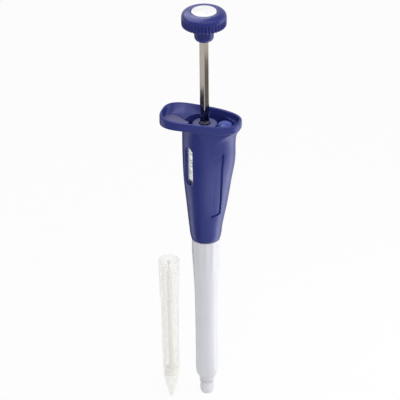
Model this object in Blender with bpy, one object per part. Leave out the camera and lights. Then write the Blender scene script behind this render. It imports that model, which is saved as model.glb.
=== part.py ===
"""Positive displacement pipette for 0.5 to 5 mL, with its piston tip standing beside it.

Sizes are in metres. Heights are measured from the end of the nose, on the axis of the
plunger. The part's origin is on the flat underside of the finger rest, which hangs on
a pipette hanger, so an empty on the plunger's axis carries every piece.
"""
import math

import bmesh
import bpy
from mathutils import Matrix, Vector

MM = 0.001
GAP = 0.3 * MM
RUN = 0.4 * MM
BEVEL = 0.6 * MM
BITE = 0.5 * MM
OVER = 1.0 * MM
FINE = 24
ROUND = 24

# Stroke and setting screw
VOLUMES = 5.0
STROKE = 60.0 * MM
LEAD = STROKE / VOLUMES

# Overall heights
NOSE_STOP_Z = 12.2 * MM
HANDLE_BOTTOM_Z = 121.6 * MM
FLANGE_UNDER_Z = 207.7 * MM
FLANGE_HEIGHT = 5.6 * MM
KNOB_TOP_Z = 290.6 * MM

# Handle shell: share of its height, reach to the left, reach to the right, half depth
HANDLE_SHARES = (
    (0.0, 9.5 * MM, 9.5 * MM, 9.5 * MM),
    (0.028, 10.0 * MM, 10.1 * MM, 9.9 * MM),
    (0.107, 10.8 * MM, 11.1 * MM, 10.6 * MM),
    (0.32, 12.6 * MM, 14.7 * MM, 12.1 * MM),
    (0.533, 14.4 * MM, 17.8 * MM, 13.5 * MM),
    (0.713, 15.0 * MM, 20.4 * MM, 14.0 * MM),
    (0.9, 15.2 * MM, 21.1 * MM, 14.1 * MM),
)
HANDLE_FLARE = ((5.0 * MM, 21.6 * MM), (2.0 * MM, 22.8 * MM))
HANDLE_WALL = 1.8 * MM
FLANGE_LEFT = 30.2 * MM
FLANGE_RIGHT = 25.2 * MM
FLANGE_HALF_DEPTH = 14.7 * MM
FLANGE_WALL = 1.7 * MM
FLANGE_SKEW = 0.16
FLANGE_SQUARENESS = 2.5
FLANGE_RISE = 1.4 * MM
REST_FLOOR = 1.3 * MM
FLOOR_INSET = FLANGE_WALL + 0.8 * MM
HANGER_REST_X = -22.0 * MM

# Tray deck, rod guide and finger pad
DECK_TOP_Z = FLANGE_UNDER_Z - 4.2 * MM
DECK_THICKNESS = 2.3 * MM
GUIDE_RADIUS = 8.0 * MM
GUIDE_TOP_Z = FLANGE_UNDER_Z + 0.7 * MM
GUIDE_SPIGOT_RADIUS = 5.8 * MM
GUIDE_TAB = (3.2 * MM, 3.0 * MM, 2.2 * MM)
PAD_THICKNESS = 0.9 * MM
PAD_SIDE_GAP = 0.4 * MM
PAD_INNER_X = -17.0 * MM

# Window on the counter, and the bare recess on the other side
WINDOW_AZIMUTH = math.radians(37.5)
WINDOW_WIDTH = 7.0 * MM
WINDOW_HEIGHT = 28.0 * MM
WINDOW_CENTRE_Z = FLANGE_UNDER_Z - 27.9 * MM
WINDOW_CUT = 8.0 * MM
LENS_THICKNESS = 0.9 * MM
LENS_DISTANCE = 11.7 * MM
RECESS_TOP_Z = FLANGE_UNDER_Z - 17.7 * MM
RECESS_BOTTOM_Z = HANDLE_BOTTOM_Z + 20.6 * MM
RECESS_SLANT = 2.2 * MM
RECESS_DEPTH = 0.8 * MM
RECESS_TOP_ARC = (math.radians(-68.0), math.radians(-45.0))
RECESS_FOOT_ARC = (math.radians(-61.0), math.radians(-31.5))

# Push rod, a hexagon across its flats
ROD_FLATS = 6.0 * MM
ROD_TURN = math.radians(6.0)
ROD_TOP_Z = KNOB_TOP_Z - 5.4 * MM
TENON_RADIUS = 1.5 * MM
TENON_LENGTH = 7.0 * MM
HEX_CLEARANCE = 0.3 * MM
ROD_CORNER = ROD_FLATS / 2 / math.cos(math.radians(30.0))
ROD_BORE = ROD_CORNER + RUN

# Knob
KNOB_RADIUS = 15.0 * MM
KNOB_RIM_DROP = 0.5 * MM
KNOB_DOME_HEIGHT = 5.5 * MM
KNOB_SKIRT_HEIGHT = 4.9 * MM
KNOB_SKIRT_TAPER = 0.4 * MM
KNOB_FLUTE_DEPTH = 0.45 * MM
KNOB_FLUTES = 40
KNOB_WALL = 3.0 * MM
KNOB_ROOF = 2.0 * MM
CAP_RADIUS = 8.6 * MM
CAP_THICKNESS = 1.4 * MM
CAP_EDGE = 0.8 * MM
COLLAR_RADIUS = 6.5 * MM
COLLAR_DROP = 20.9 * MM
COLLAR_BOWL = 3.3 * MM
COLLAR_LIP = 0.35 * MM
KNOB_SCREW_RADIUS = 3.4 * MM

# Setting screw, nut and counter
SCREW_RADIUS = 6.0 * MM
THREAD_DEPTH = 0.35 * MM
THREAD_STARTS = 4
SCREW_TOP_Z = FLANGE_UNDER_Z - 12.1 * MM
SCREW_BOTTOM_Z = HANDLE_BOTTOM_Z + 11.9 * MM
NUT_BORE = SCREW_RADIUS + RUN
NUT_WALL = 1.2 * MM
NUT_LENGTH = 8.8 * MM
NUT_FLANGE_RADIUS = 8.8 * MM
NUT_FLANGE_HEIGHT = 3.0 * MM
WASHER_THICKNESS = 1.3 * MM
SLEEVE_BORE = 6.5 * MM
SLEEVE_RADIUS = 7.4 * MM
HUB_RADIUS = 8.6 * MM
HUB_HEIGHT = 4.6 * MM
RING_RADIUS = 11.0 * MM
RING_BORE = SLEEVE_RADIUS + RUN
RING_HEIGHT = 8.7 * MM
RING_TOP_Z = FLANGE_UNDER_Z - 13.2 * MM
CLIP_HEIGHT = 1.1 * MM
CLIP_RADIUS = 8.9 * MM
PINION_RADIUS = 1.8 * MM
PINION_BORE = 0.9 * MM
PINION_AZIMUTH = math.radians(33.0)
SHAFT_RADIUS = 0.6 * MM
SHAFT_HEAD_RADIUS = 1.2 * MM
SHAFT_HEAD_HEIGHT = 0.7 * MM
SHAFT_BOSS_RADIUS = 2.4 * MM

# Frame inside the handle
PLATE_THICKNESS = 3.0 * MM
PLATE_DROP = 1.4 * MM
FRAME_PLATE_RADIUS = 11.3 * MM
MID_PLATE_RADIUS = 10.5 * MM
FRAME_SLEEVE_RADIUS = 9.0 * MM
POST_WIDTH = 2.2 * MM
POST_OFFSET = 3.0 * MM
POST_THICKNESS = 1.7 * MM
SHELF_OVERLAP = 1.5 * MM
SHELF_MARGIN = 0.2 * MM
LOBE_X = 17.6 * MM
LOBE_HALF_WIDTH = 4.6 * MM
FRAME_SCREW_RADIUS = 0.7 * MM
FRAME_SCREW_HEAD = 1.5 * MM
FRAME_SCREW_HEAD_HEIGHT = 1.0 * MM
FRAME_SCREW_REACH = 10.3 * MM
FRAME_SCREW_BOSS = 1.9 * MM
FRAME_SCREW_AZIMUTHS = {"front": math.radians(215.0), "back": math.radians(145.0)}

# Lock button
BUTTON_X = 13.8 * MM
BUTTON_RADIUS = 5.3 * MM
BUTTON_TOP_Z = FLANGE_UNDER_Z + 2.7 * MM
BUTTON_CAVITY_RADIUS = 4.2 * MM
BUTTON_DOME = 2.0 * MM
BUTTON_ROOF = 3.0 * MM
BUTTON_SKIRT_Z = DECK_TOP_Z - 1.3 * MM
PAWL_STEM_RADIUS = 1.3 * MM
PAWL_FINGER_WIDTH = 2.0 * MM
PAWL_FINGER_HEIGHT = 1.8 * MM
LOCK_SPRING_RADIUS = 3.1 * MM
LOCK_SPRING_WIRE = 0.4 * MM

# Barrel: height and outer radius
BARREL_SECTIONS = (
    (HANDLE_BOTTOM_Z - GAP, 9.3 * MM),
    (HANDLE_BOTTOM_Z - 8.6 * MM, 9.3 * MM),
    (HANDLE_BOTTOM_Z - 25.6 * MM, 8.4 * MM),
    (HANDLE_BOTTOM_Z - 39.6 * MM, 7.85 * MM),
    (NOSE_STOP_Z + 47.8 * MM, 7.6 * MM),
    (NOSE_STOP_Z + 18.8 * MM, 7.4 * MM),
    (NOSE_STOP_Z + 2.0 * MM, 7.2 * MM),
    (NOSE_STOP_Z, 6.6 * MM),
)
SPIGOT_RADIUS = 7.7 * MM
SPIGOT_LENGTH = 11.0 * MM
BARREL_BORE = 6.5 * MM
BARREL_LOWER_BORE = 5.0 * MM
BARREL_STEP_Z = 38.0 * MM
UNION_RADIUS = 8.8 * MM
UNION_HEIGHT = 4.0 * MM
HANDLE_LIP = 5.1 * MM

# Stop collar, spring and its seat
STOP_RADIUS = 6.1 * MM
STOP_HEIGHT = 5.6 * MM
STOP_SCREW_RADIUS = 0.8 * MM
SEAT_HEIGHT = 3.7 * MM
SEAT_BORE = 4.0 * MM
STOP_SLEEVE_WALL = 0.5 * MM
SPRING_RADIUS = 4.85 * MM
SPRING_WIRE = 0.8 * MM
SPRING_TURNS = 11
COUPLER_RADIUS = 3.5 * MM
COUPLER_LENGTH = 17.5 * MM
COUPLER_WEB = 2.5 * MM

# Piston rod and the collet that grips the tip's own piston
PISTON_ROD_RADIUS = 2.0 * MM
COLLET_RADIUS = 3.0 * MM
COLLET_LENGTH = 15.5 * MM
COLLET_BOTTOM_Z = 64.6 * MM
COLLET_SOCKET = 6.0 * MM
COLLET_ROOF = 1.5 * MM
COLLET_GROOVE_RISE = 2.0 * MM
COLLET_BORE = 1.95 * MM
COLLET_GROOVE_RADIUS = 2.4 * MM
COLLET_SLOT = 0.7 * MM
COLLET_SLOT_DEPTH = 7.0 * MM
COLLET_RING_HEIGHT = 1.3 * MM
BUSH_HEIGHT = 6.0 * MM
BUSH_DROP = 2.0 * MM

# Nose
NOSE_COLLAR_RADIUS = 4.9 * MM
NOSE_NECK_RADIUS = 4.45 * MM
NOSE_BULGE_RADIUS = 4.62 * MM
NOSE_END_RADIUS = 3.9 * MM
NOSE_NECK_Z = (8.0 * MM, 4.6 * MM)
NOSE_BULGE_Z = (3.2 * MM, 1.4 * MM)
NOSE_EDGE = 0.2 * MM
NOSE_SPIGOT_LENGTH = 14.0 * MM
NOSE_BORE = COLLET_RADIUS + RUN
SEAL_WIDTH = 1.2 * MM
SEAL_BOTTOM_Z = 9.0 * MM
SEAL_GROOVE_DEPTH = 0.75 * MM

# Tip: it stands free beside the pipette, level with the end of the nose
TIP_X = -21.6 * MM
TIP_Y = -12.5 * MM
TIP_LENGTH = 108.6 * MM
TIP_MOUTH_RADIUS = 7.05 * MM
TIP_LIP_HEIGHT = 1.4 * MM
TIP_COLLAR_RADIUS = 6.4 * MM
TIP_COLLAR_LENGTH = 30.0 * MM
TIP_COLLAR_CHAMFER = 1.5 * MM
TIP_BODY_TOP_RADIUS = 6.0 * MM
TIP_BODY_FOOT_RADIUS = 5.6 * MM
TIP_CONE_HEIGHT = 17.5 * MM
TIP_POINT_RADIUS = 1.0 * MM
TIP_POINT_BORE = 0.45 * MM
TIP_BORE = 5.15 * MM
TIP_MOUTH_BORE = 6.05 * MM
TIP_MOUTH_DEPTH = 9.0 * MM
TIP_LAND_RADIUS = 4.95 * MM
TIP_LAND_HEIGHT = 1.2 * MM
TIP_LAND_PITCH = 3.6 * MM
PISTON_HEAD_RADIUS = 4.75 * MM
PISTON_HEAD_HEIGHT = 5.2 * MM
PISTON_SOCKET_RISE = 1.6 * MM
PISTON_EDGE = 0.4 * MM
TIP_ROD_RADIUS = 1.6 * MM
TIP_ROD_NECK_RADIUS = 0.75 * MM
TIP_ROD_NECK_LENGTH = 7.4 * MM
TIP_ROD_HEAD_RADIUS = 1.3 * MM
TIP_ROD_HEAD_HEIGHT = 1.4 * MM
TIP_ROD_RECESS = 1.6 * MM

# Heights that follow from the sizes above
HANDLE_HEIGHT = FLANGE_UNDER_Z - HANDLE_BOTTOM_Z
HANDLE_SECTIONS = tuple(
    (HANDLE_BOTTOM_Z + share * HANDLE_HEIGHT, *reaches) for share, *reaches in HANDLE_SHARES)
COLLAR_BOTTOM_Z = KNOB_TOP_Z - COLLAR_DROP
SPIGOT_TOP_Z = HANDLE_BOTTOM_Z + SPIGOT_LENGTH
NUT_BOTTOM_Z = SPIGOT_TOP_Z + 2 * GAP
NUT_TOP_Z = NUT_BOTTOM_Z + NUT_LENGTH
WASHER_TOP_Z = SCREW_BOTTOM_Z - GAP
STOP_TOP_Z = WASHER_TOP_Z - WASHER_THICKNESS - GAP
STOP_BOTTOM_Z = STOP_TOP_Z - STOP_HEIGHT
STOP_SLEEVE_TOP_Z = STOP_BOTTOM_Z - STROKE - GAP
SEAT_BOTTOM_Z = BARREL_STEP_Z + GAP
SEAT_TOP_Z = SEAT_BOTTOM_Z + SEAT_HEIGHT
COUPLER_TOP_Z = STOP_BOTTOM_Z - GAP
COUPLER_BOTTOM_Z = COUPLER_TOP_Z - COUPLER_LENGTH
PISTON_ROD_TOP_Z = COUPLER_TOP_Z - TENON_LENGTH - GAP - COUPLER_WEB - GAP
COLLET_TOP_Z = COLLET_BOTTOM_Z + COLLET_LENGTH
HUB_TOP_Z = DECK_TOP_Z - DECK_THICKNESS - GAP
HUB_BOTTOM_Z = HUB_TOP_Z - HUB_HEIGHT
RING_PITCH = RING_HEIGHT + GAP
TICK_BOTTOM_Z = RING_TOP_Z - 2 * RING_PITCH - RING_HEIGHT
CLIP_TOP_Z = TICK_BOTTOM_Z - GAP
SLEEVE_BOTTOM_Z = CLIP_TOP_Z - CLIP_HEIGHT - GAP
TOP_PLATE_TOP_Z = HUB_TOP_Z - PLATE_DROP
TOP_PLATE_BOTTOM_Z = TOP_PLATE_TOP_Z - PLATE_THICKNESS
PAWL_BOTTOM_Z = TOP_PLATE_BOTTOM_Z + 0.6 * MM
MID_PLATE_TOP_Z = SLEEVE_BOTTOM_Z - GAP
MID_PLATE_BOTTOM_Z = MID_PLATE_TOP_Z - PLATE_THICKNESS
PINION_BOTTOM_Z = TICK_BOTTOM_Z + RING_PITCH
PINION_REACH = RING_RADIUS + RUN + PINION_RADIUS


def finish(name, colour, roughness, metallic=0.0, alpha=1.0):
    """A plain material in one colour."""
    material = bpy.data.materials.new(name)
    material.use_nodes = True
    shader = material.node_tree.nodes["Principled BSDF"]
    shader.inputs["Base Color"].default_value = (*colour, 1.0)
    shader.inputs["Roughness"].default_value = roughness
    shader.inputs["Metallic"].default_value = metallic
    shader.inputs["Alpha"].default_value = alpha
    material.diffuse_color = (*colour, alpha)
    return material


def empty(name, location, parent=None):
    """A guide that carries pieces and marks the axis on which they move."""
    guide = bpy.data.objects.new(name, None)
    bpy.context.scene.collection.objects.link(guide)
    guide.parent = parent
    guide.location = location
    return guide


def piece(name, shape, material, parent, smooth=True):
    """Turn a bmesh into a named object under its parent."""
    bmesh.ops.recalc_face_normals(shape, faces=shape.faces[:])
    mesh = bpy.data.meshes.new(name)
    shape.to_mesh(mesh)
    shape.free()
    mesh.materials.append(material)
    if smooth:
        mesh.shade_smooth()
        mesh.set_sharp_from_angle(angle=math.radians(35.0))
    thing = bpy.data.objects.new(name, mesh)
    bpy.context.scene.collection.objects.link(thing)
    thing.parent = parent
    return thing


def turned_shape(profile, segments=ROUND):
    """Spin a profile of (radius, height) points: closed, or open where both ends are on the axis."""
    shape = bmesh.new()
    points = [shape.verts.new((radius, 0.0, height)) for radius, height in profile]
    edges = [shape.edges.new(pair) for pair in zip(points, points[1:])]
    if profile[0][0] > 0.0:
        edges.append(shape.edges.new((points[-1], points[0])))
    bmesh.ops.spin(shape, geom=points + edges, cent=(0, 0, 0), axis=(0, 0, 1),
                   angle=math.tau, steps=segments, use_merge=True)
    bmesh.ops.remove_doubles(shape, verts=shape.verts[:], dist=1e-6)
    return shape


def turned(name, profile, material, parent, segments=ROUND):
    """A piece of round section."""
    return piece(name, turned_shape(profile, segments), material, parent)


def rod_shape(radius, bottom, top, segments=16):
    """A plain cylinder on the axis."""
    return turned_shape([(0, top), (radius, top), (radius, bottom), (0, bottom)], segments)


def tube(outer, inner, bottom, top):
    """Profile of a plain tube."""
    return [(outer, top), (outer, bottom), (inner, bottom), (inner, top)]


def loop(radius_at, height, count, start=0.0):
    """A closed row of points whose radius follows a rule of the angle."""
    angles = [start + math.tau * step / count for step in range(count)]
    return [(radius_at(a) * math.cos(a), radius_at(a) * math.sin(a), height) for a in angles]


def circle(radius, height, count=FINE, start=0.0):
    """A closed row of points on a circle."""
    return loop(lambda angle: radius, height, count, start)


def hexagon(flats, height, count=FINE):
    """A closed row of points on the push rod's hexagon, with points on its corners."""
    corner = ROD_TURN + math.radians(30.0)

    def radius_at(angle):
        off_flat = (angle - corner) % math.radians(60.0) - math.radians(30.0)
        return flats / 2 / math.cos(off_flat)

    return loop(radius_at, height, count, corner)


def lofted_shape(rows, ring=True):
    """Skin closed rows of equal count: as a ring, or with a flat face on each end."""
    shape = bmesh.new()
    levels = [[shape.verts.new(point) for point in row] for row in rows]
    pairs = list(zip(levels, levels[1:]))
    if ring:
        pairs.append((levels[-1], levels[0]))
    count = len(levels[0])
    for upper, lower in pairs:
        for index in range(count):
            after = (index + 1) % count
            shape.faces.new((upper[index], lower[index], lower[after], upper[after]))
    if not ring:
        shape.faces.new(levels[0])
        shape.faces.new(reversed(levels[-1]))
    return shape


def lofted(name, rows, material, parent, ring=True, smooth=True):
    """A piece skinned over rows of points."""
    return piece(name, lofted_shape(rows, ring), material, parent, smooth)


def block_shape(low, high):
    """A box between two corners."""
    size = Vector(high) - Vector(low)
    middle = (Vector(high) + Vector(low)) / 2
    shape = bmesh.new()
    place = Matrix.Translation(middle) @ Matrix.Diagonal((*size, 1.0))
    bmesh.ops.create_cube(shape, size=1.0, matrix=place)
    return shape


def stadium_shape(width, height, depth, count=8):
    """An upright slot outline with round ends, extruded along Y from 0 to its depth."""
    radius = width / 2
    straight = height / 2 - radius
    outline = []
    for side in (1, -1):
        for step in range(count + 1):
            angle = math.pi * step / count + (0.0 if side > 0 else math.pi)
            outline.append((radius * math.cos(angle), 0.0, side * straight + radius * math.sin(angle)))
    shape = bmesh.new()
    face = shape.faces.new([shape.verts.new(point) for point in outline])
    moved = bmesh.ops.extrude_face_region(shape, geom=[face])["geom"]
    far_points = [item for item in moved if isinstance(item, bmesh.types.BMVert)]
    bmesh.ops.translate(shape, vec=(0, depth, 0), verts=far_points)
    return shape


def cutter(name, shape, parent):
    """A hidden solid for a Boolean."""
    tool = piece(name, shape, None, parent, smooth=False)
    tool.hide_render = True
    tool.display_type = "WIRE"
    return tool


def boolean(target, tool, operation="DIFFERENCE"):
    """Cut the target with a tool, or join the tool to it."""
    step = target.modifiers.new(tool.name, "BOOLEAN")
    step.operation = operation
    step.solver = "EXACT"
    step.object = tool


def coil_shape(radius, wire, bottom, top, turns, per_turn=10, sides=5):
    """A round wire wound on a helix, with flat ends."""
    steps = turns * per_turn
    rise = top - bottom - wire
    rows = []
    for step in range(steps + 1):
        angle = math.tau * step / per_turn
        centre = bottom + wire / 2 + rise * step / steps
        row = []
        for side in range(sides):
            around = math.tau * side / sides
            reach = radius + wire / 2 * math.cos(around)
            height = centre + wire / 2 * math.sin(around)
            row.append((reach * math.cos(angle), reach * math.sin(angle), height))
        rows.append(row)
    return lofted_shape(rows, ring=False)


def oval(left, right, half_depth, height, angles, skew=0.0, squareness=2.0):
    """A row on a handle section; skew makes its left end the broader one."""
    if isinstance(angles, int):
        angles = [math.tau * step / angles for step in range(angles)]
    centre = (right - left) / 2
    half = (right + left) / 2
    row = []
    for angle in angles:
        along = math.cos(angle)
        across = math.sin(angle)
        x = centre + half * math.copysign(abs(along) ** (2 / squareness), along)
        y = math.copysign(abs(across) ** (2 / squareness), across)
        row.append((x, y * half_depth * (1 - skew * along), height))
    return row


def handle_oval(height, angles, inset=0.0):
    """The handle's section at a height, found between its listed sections."""
    for low, high in zip(HANDLE_SECTIONS, HANDLE_SECTIONS[1:]):
        if height <= high[0]:
            break
    share = min(1.0, (height - low[0]) / (high[0] - low[0]))
    left, right, depth = (a + (b - a) * share - inset for a, b in zip(low[1:], high[1:]))
    return oval(left, right, depth, height, angles)


def recess_shape(levels=6, across=5):
    """The bare recess: a band of even depth that follows the handle's side, with slanting ends."""
    rows = []
    for level in range(levels + 1):
        share = level / levels
        first, last = (a + (b - a) * share for a, b in zip(RECESS_TOP_ARC, RECESS_FOOT_ARC))
        left_z = RECESS_TOP_Z + (RECESS_BOTTOM_Z - RECESS_TOP_Z) * share
        floor = []
        outside = []
        for step in range(across + 1):
            part = step / across
            angle = [first + (last - first) * part]
            height = left_z + RECESS_SLANT * part
            floor += handle_oval(height, angle, RECESS_DEPTH)
            outside += handle_oval(height, angle, -3 * RECESS_DEPTH)
        rows.append(floor + outside[::-1])
    return lofted_shape(rows, ring=False)


def flange_oval(height, count, inset=0.0, rise=0.0):
    """The flange's outline set in from its full size; rise lifts its left end and drops its right."""
    row = oval(FLANGE_LEFT - inset, FLANGE_RIGHT - inset, FLANGE_HALF_DEPTH - inset, height, count,
               FLANGE_SKEW, FLANGE_SQUARENESS)
    return [(x, y, z - rise * x / FLANGE_LEFT) for x, y, z in row]


def facing(azimuth, distance, height, tilt=0.0):
    """Place a tool that looks along +Y so that it faces the axis from the front."""
    turn = Matrix.Rotation(-azimuth, 4, "Z")
    return turn @ Matrix.Translation((0, -distance, height)) @ Matrix.Rotation(tilt, 4, "X")


def build_handle(axis, plastic, rubber, clear):
    """The shell with its flange, the deck in the tray, the rod's guide and the finger pad."""
    count = 48
    crest_z = FLANGE_UNDER_Z + FLANGE_HEIGHT
    floor_z = FLANGE_UNDER_Z + REST_FLOOR
    full = HANDLE_SECTIONS[-1]
    well_wall = [reach - HANDLE_WALL for reach in full[1:]]
    rows = [handle_oval(section[0], count) for section in HANDLE_SECTIONS]
    rows += [oval(full[1], right, full[3], FLANGE_UNDER_Z - drop, count) for drop, right in HANDLE_FLARE]
    rows += [
        oval(full[1], FLANGE_RIGHT - BEVEL, full[3], FLANGE_UNDER_Z, count),
        flange_oval(FLANGE_UNDER_Z, count, BEVEL),
        flange_oval(FLANGE_UNDER_Z + BEVEL, count),
        flange_oval(crest_z - BEVEL, count, 0.0, FLANGE_RISE),
        flange_oval(crest_z, count, BITE, FLANGE_RISE),
        flange_oval(crest_z, count, FLANGE_WALL - BITE, FLANGE_RISE),
        flange_oval(crest_z - BEVEL, count, FLANGE_WALL, FLANGE_RISE),
        flange_oval(floor_z, count, FLOOR_INSET),
        oval(*well_wall, floor_z, count),
        oval(*well_wall, full[0], count),
    ]
    lip_z = HANDLE_BOTTOM_Z + HANDLE_LIP
    union_room = UNION_RADIUS + RUN
    lip_bore = SPIGOT_RADIUS + GAP
    rows += [handle_oval(section[0], count, HANDLE_WALL) for section in HANDLE_SECTIONS[-2:2:-1]]
    rows += [
        circle(union_room, lip_z + UNION_HEIGHT, count),
        circle(union_room, lip_z, count),
        circle(lip_bore, lip_z, count),
        circle(lip_bore, HANDLE_BOTTOM_Z, count),
    ]
    shell = lofted("handle_shell", rows, plastic, axis)
    slot = cutter("slot_cutter", stadium_shape(WINDOW_WIDTH, WINDOW_HEIGHT, WINDOW_CUT), axis)
    slot.matrix_local = facing(WINDOW_AZIMUTH, full[3] + WINDOW_CUT / 2, WINDOW_CENTRE_Z)
    boolean(shell, slot)
    boolean(shell, cutter("recess_cutter", recess_shape(), axis))

    lens_shape = stadium_shape(WINDOW_WIDTH - 2 * GAP, WINDOW_HEIGHT - 2 * GAP, LENS_THICKNESS)
    lens = piece("window_lens", lens_shape, clear, axis)
    lens.matrix_local = facing(WINDOW_AZIMUTH, LENS_DISTANCE + LENS_THICKNESS, WINDOW_CENTRE_Z)

    deck_bottom = DECK_TOP_Z - DECK_THICKNESS
    well = [reach - GAP for reach in well_wall]
    deck_rows = [oval(*well, DECK_TOP_Z, count), oval(*well, deck_bottom, count)]
    deck = lofted("tray_deck", deck_rows, plastic, axis, ring=False)
    holes = [
        ("guide_hole", 0.0, 0.0, GUIDE_SPIGOT_RADIUS + GAP),
        ("button_hole", BUTTON_X, 0.0, BUTTON_RADIUS + RUN),
    ]
    for side, azimuth in FRAME_SCREW_AZIMUTHS.items():
        x = FRAME_SCREW_REACH * math.cos(azimuth)
        y = FRAME_SCREW_REACH * math.sin(azimuth)
        holes.append((f"{side}_hole", x, y, FRAME_SCREW_RADIUS + GAP))
    for name, x, y, radius in holes:
        tool = cutter(name, rod_shape(radius, HUB_TOP_Z, DECK_TOP_Z + GAP, ROUND), axis)
        tool.location = (x, y, 0)
        boolean(deck, tool)

    guide_foot = DECK_TOP_Z + GAP
    guide = turned("rod_guide", [
        (GUIDE_RADIUS, GUIDE_TOP_Z - BEVEL),
        (GUIDE_RADIUS, guide_foot),
        (GUIDE_SPIGOT_RADIUS, guide_foot),
        (GUIDE_SPIGOT_RADIUS, deck_bottom),
        (ROD_BORE, deck_bottom),
        (ROD_BORE, GUIDE_TOP_Z),
        (GUIDE_RADIUS - BEVEL, GUIDE_TOP_Z),
    ], plastic, axis)
    reach, width, height = GUIDE_TAB
    tab_low = (-GUIDE_RADIUS - reach, -width / 2, guide_foot)
    tab_high = (-GUIDE_RADIUS + OVER, width / 2, guide_foot + height)
    boolean(guide, cutter("guide_tab", block_shape(tab_low, tab_high), axis), "UNION")

    pad_foot = floor_z + GAP
    outline = flange_oval(0.0, count, FLOOR_INSET + PAD_SIDE_GAP)
    outline = [(x, y) for x, y, _ in outline if x < PAD_INNER_X]
    pad_rows = [[(x, y, height) for x, y in outline] for height in (pad_foot + PAD_THICKNESS, pad_foot)]
    lofted("rest_pad", pad_rows, rubber, axis, ring=False)


def build_frame(axis, metal, steel):
    """The chassis that carries the nut and the counter, with its screws."""
    bore = NUT_BORE + NUT_WALL + GAP
    sleeve_foot = NUT_BOTTOM_Z + NUT_FLANGE_HEIGHT + GAP
    over = TOP_PLATE_TOP_Z + OVER
    under = TOP_PLATE_BOTTOM_Z - OVER
    frame = turned("core_frame", [
        (MID_PLATE_RADIUS, MID_PLATE_TOP_Z),
        (MID_PLATE_RADIUS, MID_PLATE_BOTTOM_Z),
        (FRAME_SLEEVE_RADIUS, MID_PLATE_BOTTOM_Z),
        (FRAME_SLEEVE_RADIUS, sleeve_foot),
        (bore, sleeve_foot),
        (bore, MID_PLATE_TOP_Z),
    ], metal, axis)
    plate_hole = HUB_RADIUS + RUN
    plate = rod_shape(FRAME_PLATE_RADIUS, TOP_PLATE_BOTTOM_Z, TOP_PLATE_TOP_Z, ROUND)
    boolean(frame, cutter("top_plate", plate, axis), "UNION")
    lobe_low = (plate_hole + BITE, -LOBE_HALF_WIDTH, TOP_PLATE_BOTTOM_Z)
    lobe = block_shape(lobe_low, (LOBE_X, LOBE_HALF_WIDTH, TOP_PLATE_TOP_Z))
    boolean(frame, cutter("top_lobe", lobe, axis), "UNION")
    post_near = RING_RADIUS + RUN
    post_far = post_near + POST_THICKNESS
    for side in (1, -1):
        low_y = side * POST_OFFSET - POST_WIDTH / 2
        post_low = (post_near, low_y, MID_PLATE_BOTTOM_Z + BITE)
        post_high = (post_far, low_y + POST_WIDTH, TOP_PLATE_TOP_Z - BITE)
        boolean(frame, cutter(f"post_{side}", block_shape(post_low, post_high), axis), "UNION")
    shelf_half = POST_OFFSET + POST_WIDTH / 2 + SHELF_MARGIN
    shelf_low = (MID_PLATE_RADIUS - SHELF_OVERLAP, -shelf_half, MID_PLATE_BOTTOM_Z)
    shelf_high = (post_far + SHELF_MARGIN, shelf_half, MID_PLATE_TOP_Z)
    boolean(frame, cutter("mid_shelf", block_shape(shelf_low, shelf_high), axis), "UNION")
    finger_half = PAWL_FINGER_WIDTH / 2 + RUN
    window = block_shape((HUB_RADIUS - OVER, -finger_half, under), (BUTTON_X, finger_half, over))
    boolean(frame, cutter("pawl_window", window, axis))
    stem_hole = cutter("stem_hole", rod_shape(PAWL_STEM_RADIUS + RUN, under, HUB_TOP_Z, FINE), axis)
    stem_hole.location = (BUTTON_X, 0, 0)
    boolean(frame, stem_hole)
    shaft_place = (PINION_REACH * math.cos(PINION_AZIMUTH), PINION_REACH * math.sin(PINION_AZIMUTH), 0)
    boss_shape = rod_shape(SHAFT_BOSS_RADIUS, TOP_PLATE_BOTTOM_Z, TOP_PLATE_TOP_Z, FINE)
    boss = cutter("shaft_boss", boss_shape, axis)
    boss.location = shaft_place
    boolean(frame, boss, "UNION")
    drill = cutter("shaft_hole", rod_shape(SHAFT_RADIUS + GAP, under, over), axis)
    drill.location = shaft_place
    boolean(frame, drill)
    head_z = PINION_BOTTOM_Z - GAP
    shaft = turned("pinion_shaft", [
        (0, head_z - SHAFT_HEAD_HEIGHT),
        (SHAFT_HEAD_RADIUS, head_z - SHAFT_HEAD_HEIGHT),
        (SHAFT_HEAD_RADIUS, head_z),
        (SHAFT_RADIUS, head_z),
        (SHAFT_RADIUS, TOP_PLATE_TOP_Z),
        (0, TOP_PLATE_TOP_Z),
    ], steel, axis, 16)
    shaft.location = shaft_place

    head_bottom = DECK_TOP_Z + GAP
    head_top = head_bottom + FRAME_SCREW_HEAD_HEIGHT
    screw_foot = TOP_PLATE_BOTTOM_Z + BITE
    screw_profile = [
        (0, screw_foot),
        (FRAME_SCREW_RADIUS, screw_foot),
        (FRAME_SCREW_RADIUS, head_bottom),
        (FRAME_SCREW_HEAD, head_bottom),
        (FRAME_SCREW_HEAD, head_top),
        (0, head_top),
    ]
    for side, azimuth in FRAME_SCREW_AZIMUTHS.items():
        place = (FRAME_SCREW_REACH * math.cos(azimuth), FRAME_SCREW_REACH * math.sin(azimuth), 0)
        boss_shape = rod_shape(FRAME_SCREW_BOSS, TOP_PLATE_BOTTOM_Z, TOP_PLATE_TOP_Z)
        boss = cutter(f"{side}_boss", boss_shape, axis)
        drill = cutter(f"{side}_thread", rod_shape(FRAME_SCREW_RADIUS + GAP, under, over), axis)
        boss.location = place
        drill.location = place
        boolean(frame, boss, "UNION")
        boolean(frame, drill)
        screw = turned(f"frame_screw_{side}", screw_profile, steel, axis, 16)
        screw.location = place
    boolean(frame, cutter("hub_hole", rod_shape(plate_hole, under, over, ROUND), axis))


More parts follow.
